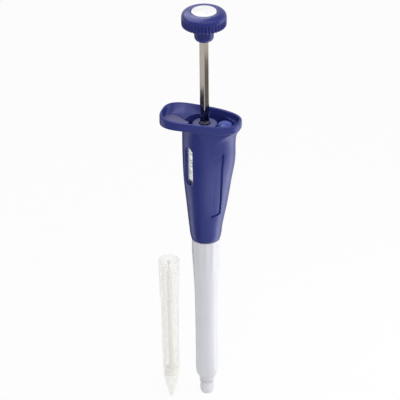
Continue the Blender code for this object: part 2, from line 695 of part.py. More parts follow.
def build_setting(axis, brass, steel, polymer, white):
    """The fixed nut, the travelling setting screw and the counter that the rod turns."""
    nut_radius = NUT_BORE + NUT_WALL
    flange_top = NUT_BOTTOM_Z + NUT_FLANGE_HEIGHT
    turned("setting_nut", [
        (nut_radius, NUT_TOP_Z),
        (nut_radius, flange_top),
        (NUT_FLANGE_RADIUS, flange_top),
        (NUT_FLANGE_RADIUS, NUT_BOTTOM_Z),
        (NUT_BORE, NUT_BOTTOM_Z),
        (NUT_BORE, NUT_TOP_Z),
    ], brass, axis)

    rows_up = 26
    height = SCREW_TOP_Z - SCREW_BOTTOM_Z
    start = ROD_TURN + math.radians(30.0)

    def thread_row(level):
        rise = height * level / rows_up
        twist = math.tau * rise / LEAD

        def radius_at(angle):
            return SCREW_RADIUS - THREAD_DEPTH * (1 - math.cos(THREAD_STARTS * (angle - twist))) / 2

        return loop(radius_at, SCREW_BOTTOM_Z + rise, FINE, start)

    bore = ROD_FLATS + 2 * HEX_CLEARANCE
    rows = [thread_row(level) for level in range(rows_up, -1, -1)]
    rows += [hexagon(bore, SCREW_BOTTOM_Z), hexagon(bore, SCREW_TOP_Z)]
    lofted("setting_screw", rows, steel, empty("setting_axis", (0, 0, 0), axis))
    washer = tube(STOP_RADIUS, ROD_BORE, WASHER_TOP_Z - WASHER_THICKNESS, WASHER_TOP_Z)
    turned("thrust_washer", washer, brass, axis)

    counter = empty("counter_axis", (0, 0, 0), axis)
    lofted("drive_sleeve", [
        circle(HUB_RADIUS, HUB_TOP_Z, start=start),
        circle(HUB_RADIUS, HUB_BOTTOM_Z, start=start),
        circle(SLEEVE_RADIUS, HUB_BOTTOM_Z, start=start),
        circle(SLEEVE_RADIUS, SLEEVE_BOTTOM_Z, start=start),
        circle(SLEEVE_BORE, SLEEVE_BOTTOM_Z, start=start),
        circle(SLEEVE_BORE, HUB_BOTTOM_Z, start=start),
        hexagon(bore, HUB_BOTTOM_Z),
        hexagon(bore, HUB_TOP_Z),
    ], polymer, counter)
    for step, name in enumerate(("ml_ring", "tenths_ring", "tick_ring")):
        top = RING_TOP_Z - step * RING_PITCH
        turned(name, tube(RING_RADIUS, RING_BORE, top - RING_HEIGHT, top), white, counter)
    clip = tube(CLIP_RADIUS, SLEEVE_RADIUS + GAP, CLIP_TOP_Z - CLIP_HEIGHT, CLIP_TOP_Z)
    turned("ring_clip", clip, steel, counter)
    pinion_place = (PINION_REACH * math.cos(PINION_AZIMUTH), PINION_REACH * math.sin(PINION_AZIMUTH), 0)
    pinion = tube(PINION_RADIUS, PINION_BORE, PINION_BOTTOM_Z, RING_TOP_Z - GAP)
    turned("carry_pinion", pinion, polymer, empty("pinion_axis", pinion_place, axis), 16)


def build_plunger(axis, plastic, white, steel, bright, rubber):
    """Everything that goes down when the knob is pressed."""
    plunger = empty("plunger_slide", (0, 0, 0), axis)
    build_knob(plunger, plastic, white, steel)

    start = ROD_TURN + math.radians(30.0)
    tenon_shoulder = COUPLER_TOP_Z + GAP
    lofted("push_rod", [
        hexagon(ROD_FLATS, ROD_TOP_Z),
        hexagon(ROD_FLATS, tenon_shoulder),
        circle(TENON_RADIUS, tenon_shoulder, start=start),
        circle(TENON_RADIUS, tenon_shoulder - TENON_LENGTH, start=start),
    ], bright, plunger, ring=False)
    stop = turned("stop_collar", tube(STOP_RADIUS, ROD_BORE, STOP_BOTTOM_Z, STOP_TOP_Z), steel, plunger)
    middle = (STOP_TOP_Z + STOP_BOTTOM_Z) / 2
    radial = Matrix.Translation((0, 0, middle)) @ Matrix.Rotation(math.radians(90.0), 4, "Y")
    hole_shape = rod_shape(STOP_SCREW_RADIUS + GAP, 0.0, 2 * STOP_RADIUS)
    hole = cutter("stop_hole", hole_shape, plunger)
    hole.matrix_local = radial
    boolean(stop, hole)
    grub_shape = rod_shape(STOP_SCREW_RADIUS, ROD_BORE, STOP_RADIUS - GAP)
    grub = piece("stop_screw", grub_shape, steel, plunger)
    grub.matrix_local = radial

    tenon_bore = TENON_RADIUS + GAP
    rod_bore = PISTON_ROD_RADIUS + GAP
    web_top = COUPLER_TOP_Z - TENON_LENGTH
    web_bottom = PISTON_ROD_TOP_Z + GAP
    turned("rod_coupler", [
        (0, web_top),
        (tenon_bore, web_top),
        (tenon_bore, COUPLER_TOP_Z),
        (COUPLER_RADIUS, COUPLER_TOP_Z),
        (COUPLER_RADIUS, COUPLER_BOTTOM_Z),
        (rod_bore, COUPLER_BOTTOM_Z),
        (rod_bore, web_bottom),
        (0, web_bottom),
    ], steel, plunger, FINE)
    socket_z = COLLET_TOP_Z - COLLET_SOCKET
    piece("piston_rod", rod_shape(PISTON_ROD_RADIUS, socket_z + GAP, PISTON_ROD_TOP_Z, FINE), bright, plunger)
    roof = socket_z - COLLET_ROOF
    groove_low = COLLET_BOTTOM_Z + COLLET_GROOVE_RISE
    groove_high = groove_low + COLLET_RING_HEIGHT + 2 * GAP
    collet = turned("tip_collet", [
        (0, socket_z),
        (rod_bore, socket_z),
        (rod_bore, COLLET_TOP_Z),
        (COLLET_RADIUS, COLLET_TOP_Z),
        (COLLET_RADIUS, groove_high),
        (COLLET_GROOVE_RADIUS, groove_high),
        (COLLET_GROOVE_RADIUS, groove_low),
        (COLLET_RADIUS, groove_low),
        (COLLET_RADIUS, COLLET_BOTTOM_Z),
        (COLLET_BORE, COLLET_BOTTOM_Z),
        (COLLET_BORE, roof),
        (0, roof),
    ], steel, plunger, FINE)
    wide = 2 * COLLET_RADIUS
    narrow = COLLET_SLOT / 2
    slot_low = COLLET_BOTTOM_Z - OVER
    slot_high = COLLET_BOTTOM_Z + COLLET_SLOT_DEPTH
    for name, x, y in (("slot_x", wide, narrow), ("slot_y", narrow, wide)):
        slot = block_shape((-x, -y, slot_low), (x, y, slot_high))
        boolean(collet, cutter(f"collet_{name}", slot, plunger))
    ring_low = groove_low + GAP
    ring = tube(COLLET_RADIUS, COLLET_GROOVE_RADIUS + GAP, ring_low, ring_low + COLLET_RING_HEIGHT)
    turned("collet_ring", ring, rubber, plunger, FINE)


def build_knob(plunger, plastic, white, steel):
    """The knob with its fluted skirt, its cap, the collar under it and the screw that holds it."""
    rim_z = KNOB_TOP_Z - KNOB_RIM_DROP
    dome_foot = rim_z - KNOB_DOME_HEIGHT
    bottom = dome_foot - KNOB_SKIRT_HEIGHT
    count = KNOB_FLUTES * 3
    cap_well = CAP_RADIUS + GAP

    def fluted(radius, height, depth=0.0):
        return loop(lambda a: radius - depth * (1 - math.cos(KNOB_FLUTES * a)) / 2, height, count)

    def dome(degrees):
        around = math.radians(degrees)
        reach = cap_well + (KNOB_RADIUS - cap_well) * math.cos(around)
        return fluted(reach, dome_foot + KNOB_DOME_HEIGHT * math.sin(around))

    well = rim_z - CAP_THICKNESS
    collar_bore = COLLAR_RADIUS + GAP
    inside = KNOB_RADIUS - KNOB_WALL
    roof = well - KNOB_ROOF
    lofted("knob_shell", [
        fluted(cap_well, rim_z),
        dome(60.0),
        dome(30.0),
        dome(0.0),
        fluted(KNOB_RADIUS, dome_foot - BEVEL, KNOB_FLUTE_DEPTH),
        fluted(KNOB_RADIUS - KNOB_SKIRT_TAPER, bottom + BEVEL, KNOB_FLUTE_DEPTH),
        fluted(KNOB_RADIUS - 2 * BEVEL, bottom),
        fluted(inside, bottom),
        fluted(inside, roof),
        fluted(collar_bore, roof),
        fluted(collar_bore, well),
        fluted(cap_well, well),
    ], plastic, plunger)
    cap_foot = well + GAP
    turned("knob_cap", [
        (0, KNOB_TOP_Z),
        (CAP_RADIUS - CAP_EDGE, KNOB_TOP_Z - GAP / 3),
        (CAP_RADIUS, rim_z),
        (CAP_RADIUS, cap_foot),
        (0, cap_foot),
    ], white, plunger)
    collar_top = well - GAP
    head_room = ROD_TOP_Z + GAP
    screw_well = KNOB_SCREW_RADIUS + 2 * GAP
    start = ROD_TURN + math.radians(30.0)
    bore = ROD_FLATS + 2 * HEX_CLEARANCE
    lip = bore / 2 / math.cos(math.radians(30.0)) + COLLAR_LIP
    bowl = (COLLAR_RADIUS - lip) * math.cos(math.radians(45.0))
    lofted("knob_collar", [
        circle(COLLAR_RADIUS, collar_top, start=start),
        circle(COLLAR_RADIUS, COLLAR_BOTTOM_Z + COLLAR_BOWL, start=start),
        circle(lip + bowl, COLLAR_BOTTOM_Z + COLLAR_BOWL * (1 - math.sin(math.radians(45.0))), start=start),
        circle(lip, COLLAR_BOTTOM_Z, start=start),
        hexagon(bore, COLLAR_BOTTOM_Z),
        hexagon(bore, head_room),
        circle(screw_well, head_room, start=start),
        circle(screw_well, collar_top, start=start),
    ], plastic, plunger)
    piece("knob_screw", rod_shape(KNOB_SCREW_RADIUS, head_room, collar_top - GAP, FINE), steel, plunger)


def build_lock(axis, blue, steel):
    """The button that frees the volume setting, with its pawl and spring."""
    lock = empty("lock_slide", (BUTTON_X, 0, 0), axis)
    edge = BUTTON_TOP_Z - BUTTON_DOME
    ceiling = BUTTON_TOP_Z - BUTTON_ROOF

    def dome(degrees):
        around = math.radians(degrees)
        return BUTTON_RADIUS * math.cos(around), edge + BUTTON_DOME * math.sin(around)

    turned("lock_button", [
        (0, BUTTON_TOP_Z),
        dome(67.5),
        dome(45.0),
        dome(22.5),
        (BUTTON_RADIUS, edge),
        (BUTTON_RADIUS, BUTTON_SKIRT_Z),
        (BUTTON_CAVITY_RADIUS, BUTTON_SKIRT_Z),
        (BUTTON_CAVITY_RADIUS, ceiling),
        (0, ceiling),
    ], blue, lock)
    pawl = piece("lock_pawl", rod_shape(PAWL_STEM_RADIUS, PAWL_BOTTOM_Z, ceiling - GAP, FINE), steel, lock)
    finger_low = (HUB_RADIUS + RUN - BUTTON_X, -PAWL_FINGER_WIDTH / 2, PAWL_BOTTOM_Z)
    finger = block_shape(finger_low, (0.0, PAWL_FINGER_WIDTH / 2, PAWL_BOTTOM_Z + PAWL_FINGER_HEIGHT))
    boolean(pawl, cutter("pawl_finger", finger, lock), "UNION")
    coil = coil_shape(LOCK_SPRING_RADIUS, LOCK_SPRING_WIRE, TOP_PLATE_TOP_Z + GAP, ceiling - GAP, 4)
    piece("lock_spring", coil, steel, lock)


def build_barrel(axis, white, polymer, steel, rubber):
    """The barrel in the handle, what sits in it, and the nose."""
    profile = [(SPIGOT_RADIUS, SPIGOT_TOP_Z), (SPIGOT_RADIUS, HANDLE_BOTTOM_Z - GAP)]
    profile += [(radius, height) for height, radius in BARREL_SECTIONS]
    profile += [
        (BARREL_LOWER_BORE, NOSE_STOP_Z),
        (BARREL_LOWER_BORE, BARREL_STEP_Z),
        (BARREL_BORE, BARREL_STEP_Z),
        (BARREL_BORE, SPIGOT_TOP_Z),
    ]
    turned("barrel", profile, white, axis)
    union_foot = HANDLE_BOTTOM_Z + HANDLE_LIP + GAP
    union = tube(UNION_RADIUS, SPIGOT_RADIUS + GAP, union_foot, union_foot + UNION_HEIGHT)
    turned("barrel_union", union, polymer, axis)
    seat_radius = BARREL_BORE - GAP
    seat_face = SEAT_TOP_Z + GAP
    turned("spring_seat", tube(seat_radius, SEAT_BORE, SEAT_BOTTOM_Z, SEAT_TOP_Z), polymer, axis)
    sleeve = tube(seat_radius, seat_radius - STOP_SLEEVE_WALL, seat_face, STOP_SLEEVE_TOP_Z)
    turned("stop_sleeve", sleeve, steel, axis)
    coil = coil_shape(SPRING_RADIUS, SPRING_WIRE, seat_face, STOP_BOTTOM_Z - GAP, SPRING_TURNS)
    piece("main_spring", coil, steel, axis)
    bush_top = BARREL_STEP_Z - BUSH_DROP
    bush = tube(BARREL_LOWER_BORE - GAP, COLLET_RADIUS + RUN, bush_top - BUSH_HEIGHT, bush_top)
    turned("rod_bush", bush, polymer, axis, FINE)

    collar_top = NOSE_STOP_Z - GAP
    groove = NOSE_COLLAR_RADIUS - SEAL_GROOVE_DEPTH
    groove_top = SEAL_BOTTOM_Z + SEAL_WIDTH + GAP
    groove_foot = SEAL_BOTTOM_Z - GAP
    spigot = BARREL_LOWER_BORE - GAP
    spigot_top = NOSE_STOP_Z + NOSE_SPIGOT_LENGTH
    neck_top, neck_foot = NOSE_NECK_Z
    bulge_top, bulge_foot = NOSE_BULGE_Z
    turned("nose_cone", [
        (spigot, spigot_top),
        (spigot, collar_top),
        (NOSE_COLLAR_RADIUS, collar_top),
        (NOSE_COLLAR_RADIUS, groove_top),
        (groove, groove_top),
        (groove, groove_foot),
        (NOSE_COLLAR_RADIUS - NOSE_EDGE, groove_foot),
        (NOSE_NECK_RADIUS, neck_top),
        (NOSE_NECK_RADIUS, neck_foot),
        (NOSE_BULGE_RADIUS, bulge_top),
        (NOSE_BULGE_RADIUS - NOSE_EDGE / 2, bulge_foot),
        (NOSE_END_RADIUS + NOSE_EDGE, NOSE_EDGE),
        (NOSE_END_RADIUS, 0.0),
        (NOSE_BORE, 0.0),
        (NOSE_BORE, spigot_top),
    ], white, axis)
    seal = tube(NOSE_COLLAR_RADIUS, groove + GAP, SEAL_BOTTOM_Z, SEAL_BOTTOM_Z + SEAL_WIDTH)
    turned("nose_seal", seal, rubber, axis, FINE)


def build_tip(axis, clear, polymer, seal):
    """The tip with its own piston, standing beside the pipette."""
    stand = empty("tip_axis", (TIP_X, TIP_Y, 0), axis)
    collar_foot = TIP_LENGTH - TIP_COLLAR_LENGTH
    lip_foot = TIP_LENGTH - TIP_LIP_HEIGHT
    mouth_floor = TIP_LENGTH - TIP_MOUTH_DEPTH
    land_slope = TIP_BORE - TIP_LAND_RADIUS + GAP / 2
    bore_rows = []
    for index in (1, 0):
        land_top = mouth_floor - index * TIP_LAND_PITCH
        land_foot = land_top - TIP_LAND_HEIGHT
        bore_rows.append((TIP_BORE, land_foot - land_slope))
        bore_rows += [(TIP_LAND_RADIUS, height) for height in (land_foot, land_top)]
        if index == 1:
            bore_rows.append((TIP_BORE, land_top + land_slope))
    turned("tip_barrel", [
        (TIP_MOUTH_RADIUS, TIP_LENGTH),
        (TIP_MOUTH_RADIUS, lip_foot),
        (TIP_MOUTH_RADIUS - GAP / 2, lip_foot - GAP),
        (TIP_COLLAR_RADIUS, collar_foot + TIP_COLLAR_CHAMFER),
        (TIP_BODY_TOP_RADIUS, collar_foot),
        (TIP_BODY_FOOT_RADIUS, TIP_CONE_HEIGHT),
        (TIP_POINT_RADIUS, 0.0),
        (TIP_POINT_BORE, 0.0),
        (TIP_BORE - 2 * BEVEL, TIP_CONE_HEIGHT - TIP_LIP_HEIGHT),
        (TIP_BORE, TIP_CONE_HEIGHT),
        *bore_rows,
        (TIP_MOUTH_BORE, mouth_floor + OVER),
        (TIP_MOUTH_BORE, TIP_LENGTH),
    ], clear, stand)
    head_bottom = TIP_CONE_HEIGHT + GAP
    head_top = head_bottom + PISTON_HEAD_HEIGHT
    socket = head_bottom + PISTON_SOCKET_RISE
    rod_room = TIP_ROD_RADIUS + GAP
    slide = empty("tip_piston_slide", (0, 0, 0), stand)
    turned("tip_piston", [
        (0, socket),
        (rod_room, socket),
        (rod_room, head_top),
        (PISTON_HEAD_RADIUS - PISTON_EDGE, head_top),
        (PISTON_HEAD_RADIUS, head_top - PISTON_EDGE),
        (PISTON_HEAD_RADIUS, head_bottom + PISTON_EDGE),
        (PISTON_HEAD_RADIUS - 2 * PISTON_EDGE, head_bottom),
        (0, head_bottom),
    ], seal, slide, FINE)
    rod_top = TIP_LENGTH - TIP_ROD_RECESS
    head_foot = rod_top - TIP_ROD_HEAD_HEIGHT
    neck_foot = rod_top - TIP_ROD_NECK_LENGTH
    turned("tip_rod", [
        (0, rod_top),
        (TIP_ROD_HEAD_RADIUS - PISTON_EDGE, rod_top),
        (TIP_ROD_HEAD_RADIUS, rod_top - PISTON_EDGE),
        (TIP_ROD_HEAD_RADIUS, head_foot),
        (TIP_ROD_NECK_RADIUS, head_foot),
        (TIP_ROD_NECK_RADIUS, neck_foot + 2 * PISTON_EDGE),
        (TIP_ROD_RADIUS, neck_foot),
        (TIP_ROD_RADIUS, socket + GAP),
        (0, socket + GAP),
    ], polymer, slide, 16)



def build():
    """Clear the scene and build every piece under the plunger's axis."""
    for thing in list(bpy.data.objects):
        bpy.data.objects.remove(thing)
    plastic = finish("handle_plastic", (0.065, 0.065, 0.21), 0.35)
    blue = finish("button_plastic", (0.06, 0.12, 0.42), 0.3)
    rubber = finish("soft_pad", (0.09, 0.09, 0.25), 0.6)
    white = finish("white_plastic", (0.8, 0.81, 0.85), 0.35)
    polymer = finish("slide_polymer", (0.75, 0.74, 0.7), 0.45)
    clear = finish("clear_plastic", (0.9, 0.9, 0.88), 0.2, alpha=0.35)
    steel = finish("spring_steel", (0.5, 0.5, 0.52), 0.3, 1.0)
    bright = finish("rod_steel", (0.55, 0.53, 0.48), 0.25, 1.0)
    brass = finish("nut_brass", (0.7, 0.55, 0.25), 0.3, 1.0)
    metal = finish("frame_alloy", (0.6, 0.61, 0.63), 0.4, 1.0)
    seal = finish("seal_rubber", (0.85, 0.84, 0.8), 0.5)

    axis = empty("plunger_axis", (-HANGER_REST_X, 0, -FLANGE_UNDER_Z))
    build_handle(axis, plastic, rubber, clear)
    build_frame(axis, metal, steel)
    build_setting(axis, brass, steel, polymer, white)
    build_plunger(axis, plastic, white, steel, bright, seal)
    build_lock(axis, blue, steel)
    build_barrel(axis, white, polymer, steel, seal)
    build_tip(axis, clear, polymer, seal)


build()
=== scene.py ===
"""Positive displacement pipette with its piston tip standing beside it.

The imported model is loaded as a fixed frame. Each sub-assembly is a class that builds its
visible surfaces with numpy and dresses them in a finish. Sizes are in millimetres, with
heights measured up from the end of the nose; Datum turns them into the frame's metres.
"""

import logging
import math
from dataclasses import dataclass, field
from enum import Enum

import bmesh
import bpy
import numpy as np
from mathutils import Matrix, Vector


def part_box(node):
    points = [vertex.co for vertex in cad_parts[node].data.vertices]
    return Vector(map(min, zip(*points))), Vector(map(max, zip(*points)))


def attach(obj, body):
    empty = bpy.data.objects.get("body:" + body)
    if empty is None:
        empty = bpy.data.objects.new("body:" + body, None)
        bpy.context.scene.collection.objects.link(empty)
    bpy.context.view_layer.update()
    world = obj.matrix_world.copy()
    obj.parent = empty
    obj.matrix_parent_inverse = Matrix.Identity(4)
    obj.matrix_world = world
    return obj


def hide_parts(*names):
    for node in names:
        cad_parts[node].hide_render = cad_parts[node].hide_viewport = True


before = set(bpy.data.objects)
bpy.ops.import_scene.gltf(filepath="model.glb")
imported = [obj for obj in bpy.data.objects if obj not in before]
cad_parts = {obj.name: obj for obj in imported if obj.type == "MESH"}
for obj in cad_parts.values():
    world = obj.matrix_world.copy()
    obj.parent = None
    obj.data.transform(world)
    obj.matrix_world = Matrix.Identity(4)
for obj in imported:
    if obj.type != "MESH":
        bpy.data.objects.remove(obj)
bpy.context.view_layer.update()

LOG = logging.getLogger("pipette")
MM = 0.001
FULL_TURN = 2.0 * math.pi

Array = np.ndarray
Mesh = bpy.types.Mesh
Socket = bpy.types.NodeSocket
Pair = tuple[float, float]
Triple = tuple[float, float, float]
Colour = Triple
Inputs = dict[str | int, object]
Palette = dict[str, bpy.types.Material]


class Body(str, Enum):
    """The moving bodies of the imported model."""

    HANDLE = "handle"
    PLUNGER = "plunger"
    LOCK = "lock"
    COUNTER = "counter_drive"
    ML_COUNTER = "ml_counter"
    TIP = "tip"
    TIP_PLUNGER = "tip_plunger"


class Grain(Enum):
    """Directions in which a surface was worked: scale of its pattern along X, Y and Z."""

    EVEN = (1.0, 1.0, 1.0)
    UPRIGHT = (1.0, 1.0, 0.02)
    TURNED = (0.15, 0.15, 3.0)


@dataclass(frozen=True)
class Datum:
    """Places millimetre sizes, taken from the nose end on the plunger's axis, in the frame."""

    axis_x: float
    axis_y: float
    foot_z: float

    @classmethod
    def from_frame(cls) -> "Datum":
        """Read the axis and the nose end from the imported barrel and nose.

        Returns:
            The datum of this frame.
        """
        low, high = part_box("barrel")
        nose_low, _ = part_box("nose_cone")
        return cls((low.x + high.x) / 2, (low.y + high.y) / 2, nose_low.z)

    @property
    def origin(self) -> Array:
        """The nose end on the plunger's axis.

        Returns:
            Its x, y and z in the frame's metres.
        """
        return np.array([self.axis_x, self.axis_y, self.foot_z])

    def place(self, points: Array) -> Array:
        """Turn millimetre points into frame metres.

        Args:
            points: Array whose last axis holds x, y and z in millimetres.

        Returns:
            The same points in metres.
        """
        return points * MM + self.origin

    def height(self, node: str) -> Pair:
        """Find how high a node lies.

        Args:
            node: The node's name.

        Returns:
            Its lowest and highest height, in millimetres above the nose end.
        """
        low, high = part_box(node)
        return (low.z - self.foot_z) / MM, (high.z - self.foot_z) / MM


def linear(colour: Colour) -> tuple[float, float, float, float]:
    """Turn a display colour of 0 to 255 into linear values with full opacity.

    Args:
        colour: Red, green and blue as they are seen.

    Returns:
        Linear red, green, blue and an alpha of 1.
    """
    share = np.asarray(colour, float) / 255.0
    low = share / 12.92
    high = ((share + 0.055) / 1.055) ** 2.4
    red, green, blue = np.where(share <= 0.04045, low, high)
    return float(red), float(green), float(blue), 1.0


def smooth_step(values: Array, start: float, end: float) -> Array:
    """Rise from 0 to 1 between two values, level at both ends: 3 t squared less 2 t cubed.

    Args:
        values: Where the step is wanted.
        start: Value at which it leaves 0.
        end: Value at which it reaches 1.

    Returns:
        The step at each value.
    """
    share = np.clip((values - start) / (end - start), 0.0, 1.0)
    return share * share * (3.0 - 2.0 * share)


def smooth_through(at: Array, knots: Array, values: Array) -> Array:
    """Carry a soft curve through listed values, as cubic pieces with averaged slopes.

    Args:
        at: Where the curve is wanted.
        knots: Rising positions of the listed values.
        values: One column per quantity, or a single row of values.

    Returns:
        The curve's values at the wanted positions.
    """
    table = values.reshape(len(knots), -1)
    slopes = np.gradient(table, knots, axis=0)
    index = np.clip(np.searchsorted(knots, at, side="right") - 1, 0, len(knots) - 2)
    width = (knots[index + 1] - knots[index])[:, None]
    t = np.clip((at - knots[index])[:, None] / width, 0.0, 1.0)
    low, high = table[index], table[index + 1]
    rise_low, rise_high = slopes[index] * width, slopes[index + 1] * width
    curve = (
        low * (2 * t**3 - 3 * t**2 + 1)
        + rise_low * (t**3 - 2 * t**2 + t)
        + high * (3 * t**2 - 2 * t**3)
        + rise_high * (t**3 - t**2)
    )
    return curve if values.ndim > 1 else curve[:, 0]


def spread(count: int, low: float, high: float, spots: tuple[Triple, ...]) -> Array:
    """Share out positions between two limits, closer together around given spots.

    The density is 1 plus a bell of the given strength and width round each spot, and the
    positions divide its running total evenly.

    Args:
        count: How many positions.
        low: First position.
        high: Last position.
        spots: Centre, half width and extra density of each spot.

    Returns:
        Rising positions from low to high.
    """
    fine = np.linspace(low, high, 4000)
    density = np.ones_like(fine)
    for centre, half_width, strength in spots:
        density += strength * np.exp(-(((fine - centre) / half_width) ** 4))
    total = np.concatenate([[0.0], np.cumsum((density[1:] + density[:-1]) / 2)])
    return np.interp(np.linspace(0.0, total[-1], count), total, fine)


def rounded(corners: list[Triple], closed: bool = True, steps: int = 6) -> Array:
    """Round the corners of a profile, each by a parabola that touches both of its sides.

    Args:
        corners: Radius, height and rounding of each corner, in millimetres.
        closed: Whether the last corner joins the first.
        steps: Points on each rounded corner.

    Returns:
        Rows of radius and height.
    """
    table = np.array(corners, float)
    point = table[:, :2]
    before = np.roll(point, 1, axis=0) - point
    after = np.roll(point, -1, axis=0) - point
    near = np.maximum(np.linalg.norm(before, axis=1), 1e-9)
    far = np.maximum(np.linalg.norm(after, axis=1), 1e-9)
    cut = np.minimum(table[:, 2], 0.48 * np.minimum(near, far))
    if not closed:
        cut[[0, -1]] = 0.0
    start = (point + before / near[:, None] * cut[:, None])[:, None, :]
    end = (point + after / far[:, None] * cut[:, None])[:, None, :]
    t = np.linspace(0.0, 1.0, steps)[None, :, None]
    curve = (1 - t) ** 2 * start + 2 * t * (1 - t) * point[:, None, :] + t**2 * end
    return curve.reshape(-1, 2)


def grid_mesh(name: str, points: Array, around: bool = True, along: bool = True) -> Mesh:
    """Skin a grid of points with four-sided faces, then merge its poles and face it outwards.

    Args:
        name: The mesh's name.
        points: Rows by columns by x, y and z, in metres.
        around: Whether each row closes on itself.
        along: Whether the last row joins the first.

    Returns:
        The finished mesh.
    """
    rows, columns = points.shape[:2]
    row = np.arange(rows if along else rows - 1)[:, None]
    column = np.arange(columns if around else columns - 1)[None, :]
    next_row, next_column = (row + 1) % rows, (column + 1) % columns
    corners = [row * columns + column, row * columns + next_column]
    corners += [next_row * columns + next_column, next_row * columns + column]
    faces = np.stack(corners, axis=-1).reshape(-1, 4)
    mesh = bpy.data.meshes.new(name)
    mesh.vertices.add(rows * columns)
    mesh.vertices.foreach_set("co", points.reshape(-1).astype(np.float32))
    mesh.loops.add(faces.size)
    mesh.loops.foreach_set("vertex_index", faces.reshape(-1).astype(np.int32))
    mesh.polygons.add(len(faces))
    mesh.polygons.foreach_set("loop_start", np.arange(0, faces.size, 4, dtype=np.int32))
    mesh.update(calc_edges=True)
    tidy(mesh)
    return mesh


def tidy(mesh: Mesh, smooth_below: float = 32.0) -> None:
    """Merge doubled points, turn every face outwards and shade it by the angle of its edges.

    Args:
        mesh: The mesh, changed in place.
        smooth_below: Edges between faces that meet at less than this, in degrees, look smooth.
    """
    shape = bmesh.new()
    shape.from_mesh(mesh)
    bmesh.ops.remove_doubles(shape, verts=shape.verts[:], dist=2e-6)
    bmesh.ops.recalc_face_normals(shape, faces=shape.faces[:])
    shape.to_mesh(mesh)
    shape.free()
    mesh.shade_smooth()
    mesh.set_sharp_from_angle(angle=math.radians(smooth_below))


def placed(name: str, data: bpy.types.ID) -> bpy.types.Object:
    """Make an object of some data and link it into the scene.

    Args:
        name: The object's name.
        data: Its mesh, curve, light or camera.

    Returns:
        The new object, at the origin.
    """
    thing = bpy.data.objects.new(name, data)
    bpy.context.scene.collection.objects.link(thing)
    return thing


def columns_round(count: int) -> Array:
    """Share out directions evenly round the axis.

    Args:
        count: How many directions.

    Returns:
        The directions in radians.
    """
    return np.arange(count) * FULL_TURN / count


def around_axis(radius: Array, angle: Array, height: Array) -> Array:
    """Carry radii round the axis: x and y are the radius times the angle's cosine and sine.

    Args:
        radius: Radii, rows by columns or one for each row.
        angle: Directions.
        height: Heights that spread over the rows and columns.

    Returns:
        Rows by columns by x, y and z.
    """
    x, y = radius * np.cos(angle), radius * np.sin(angle)
    return np.stack([x, y, np.broadcast_to(height, x.shape)], axis=-1)


# Shader node groups that several finishes share


@dataclass(frozen=True)
class NodeTree:
    """A small helper that adds nodes to a material or a node group and links them."""

    tree: bpy.types.NodeTree

    def add(self, kind: str, inputs: Inputs | None = None, **settings: object) -> bpy.types.Node:
        """Add a node, set its properties and fill its inputs.

        Args:
            kind: Blender's name of the node type.
            inputs: What each input gets.
            settings: Properties of the node.

        Returns:
            The new node.
        """
        node = self.tree.nodes.new(kind)
        for key, value in settings.items():
            setattr(node, key, value)
        self.fill(node, inputs or {})
        return node

    def fill(self, node: bpy.types.Node, inputs: Inputs) -> None:
        """Fill a node's inputs: an output is linked and a plain value is set.

        Args:
            node: The node.
            inputs: What each input gets, by its name or number.
        """
        for key, value in inputs.items():
            if isinstance(value, Socket):
                self.tree.links.new(value, node.inputs[key])
            else:
                node.inputs[key].default_value = value

    def noise(self, vector: Socket, scale: float, detail: float = 4.0, roughness: float = 0.5) -> Socket:
        """Add a noise texture of one scale, read at a vector.

        Args:
            vector: Where the noise is read.
            scale: Its scale, per metre.
            detail: How many finer layers it has.
            roughness: How strong those layers are.

        Returns:
            The noise from 0 to 1.
        """
        inputs = {"Vector": vector, "Scale": scale, "Detail": detail, "Roughness": roughness}
        return self.add("ShaderNodeTexNoise", inputs).outputs["Fac"]

    def math(self, operation: str, first: object, second: object) -> Socket:
        """Add a sum, each side of it a socket or a number.

        Args:
            operation: Blender's name of the operation.
            first: Left side.
            second: Right side.

        Returns:
            The result.
        """
        return self.add("ShaderNodeMath", {0: first, 1: second}, operation=operation).outputs[0]

    def remap(self, value: Socket, low: float, high: float, to_low: float, to_high: float) -> Socket:
        """Move a value from one range to another, clamped.

        Args:
            value: The value.
            low: Start of its range.
            high: End of its range.
            to_low: Start of the new range.
            to_high: End of the new range.

        Returns:
            The value in its new range.
        """
        inputs = {"Value": value, "From Min": low, "From Max": high, "To Min": to_low, "To Max": to_high}
        return self.add("ShaderNodeMapRange", inputs).outputs["Result"]


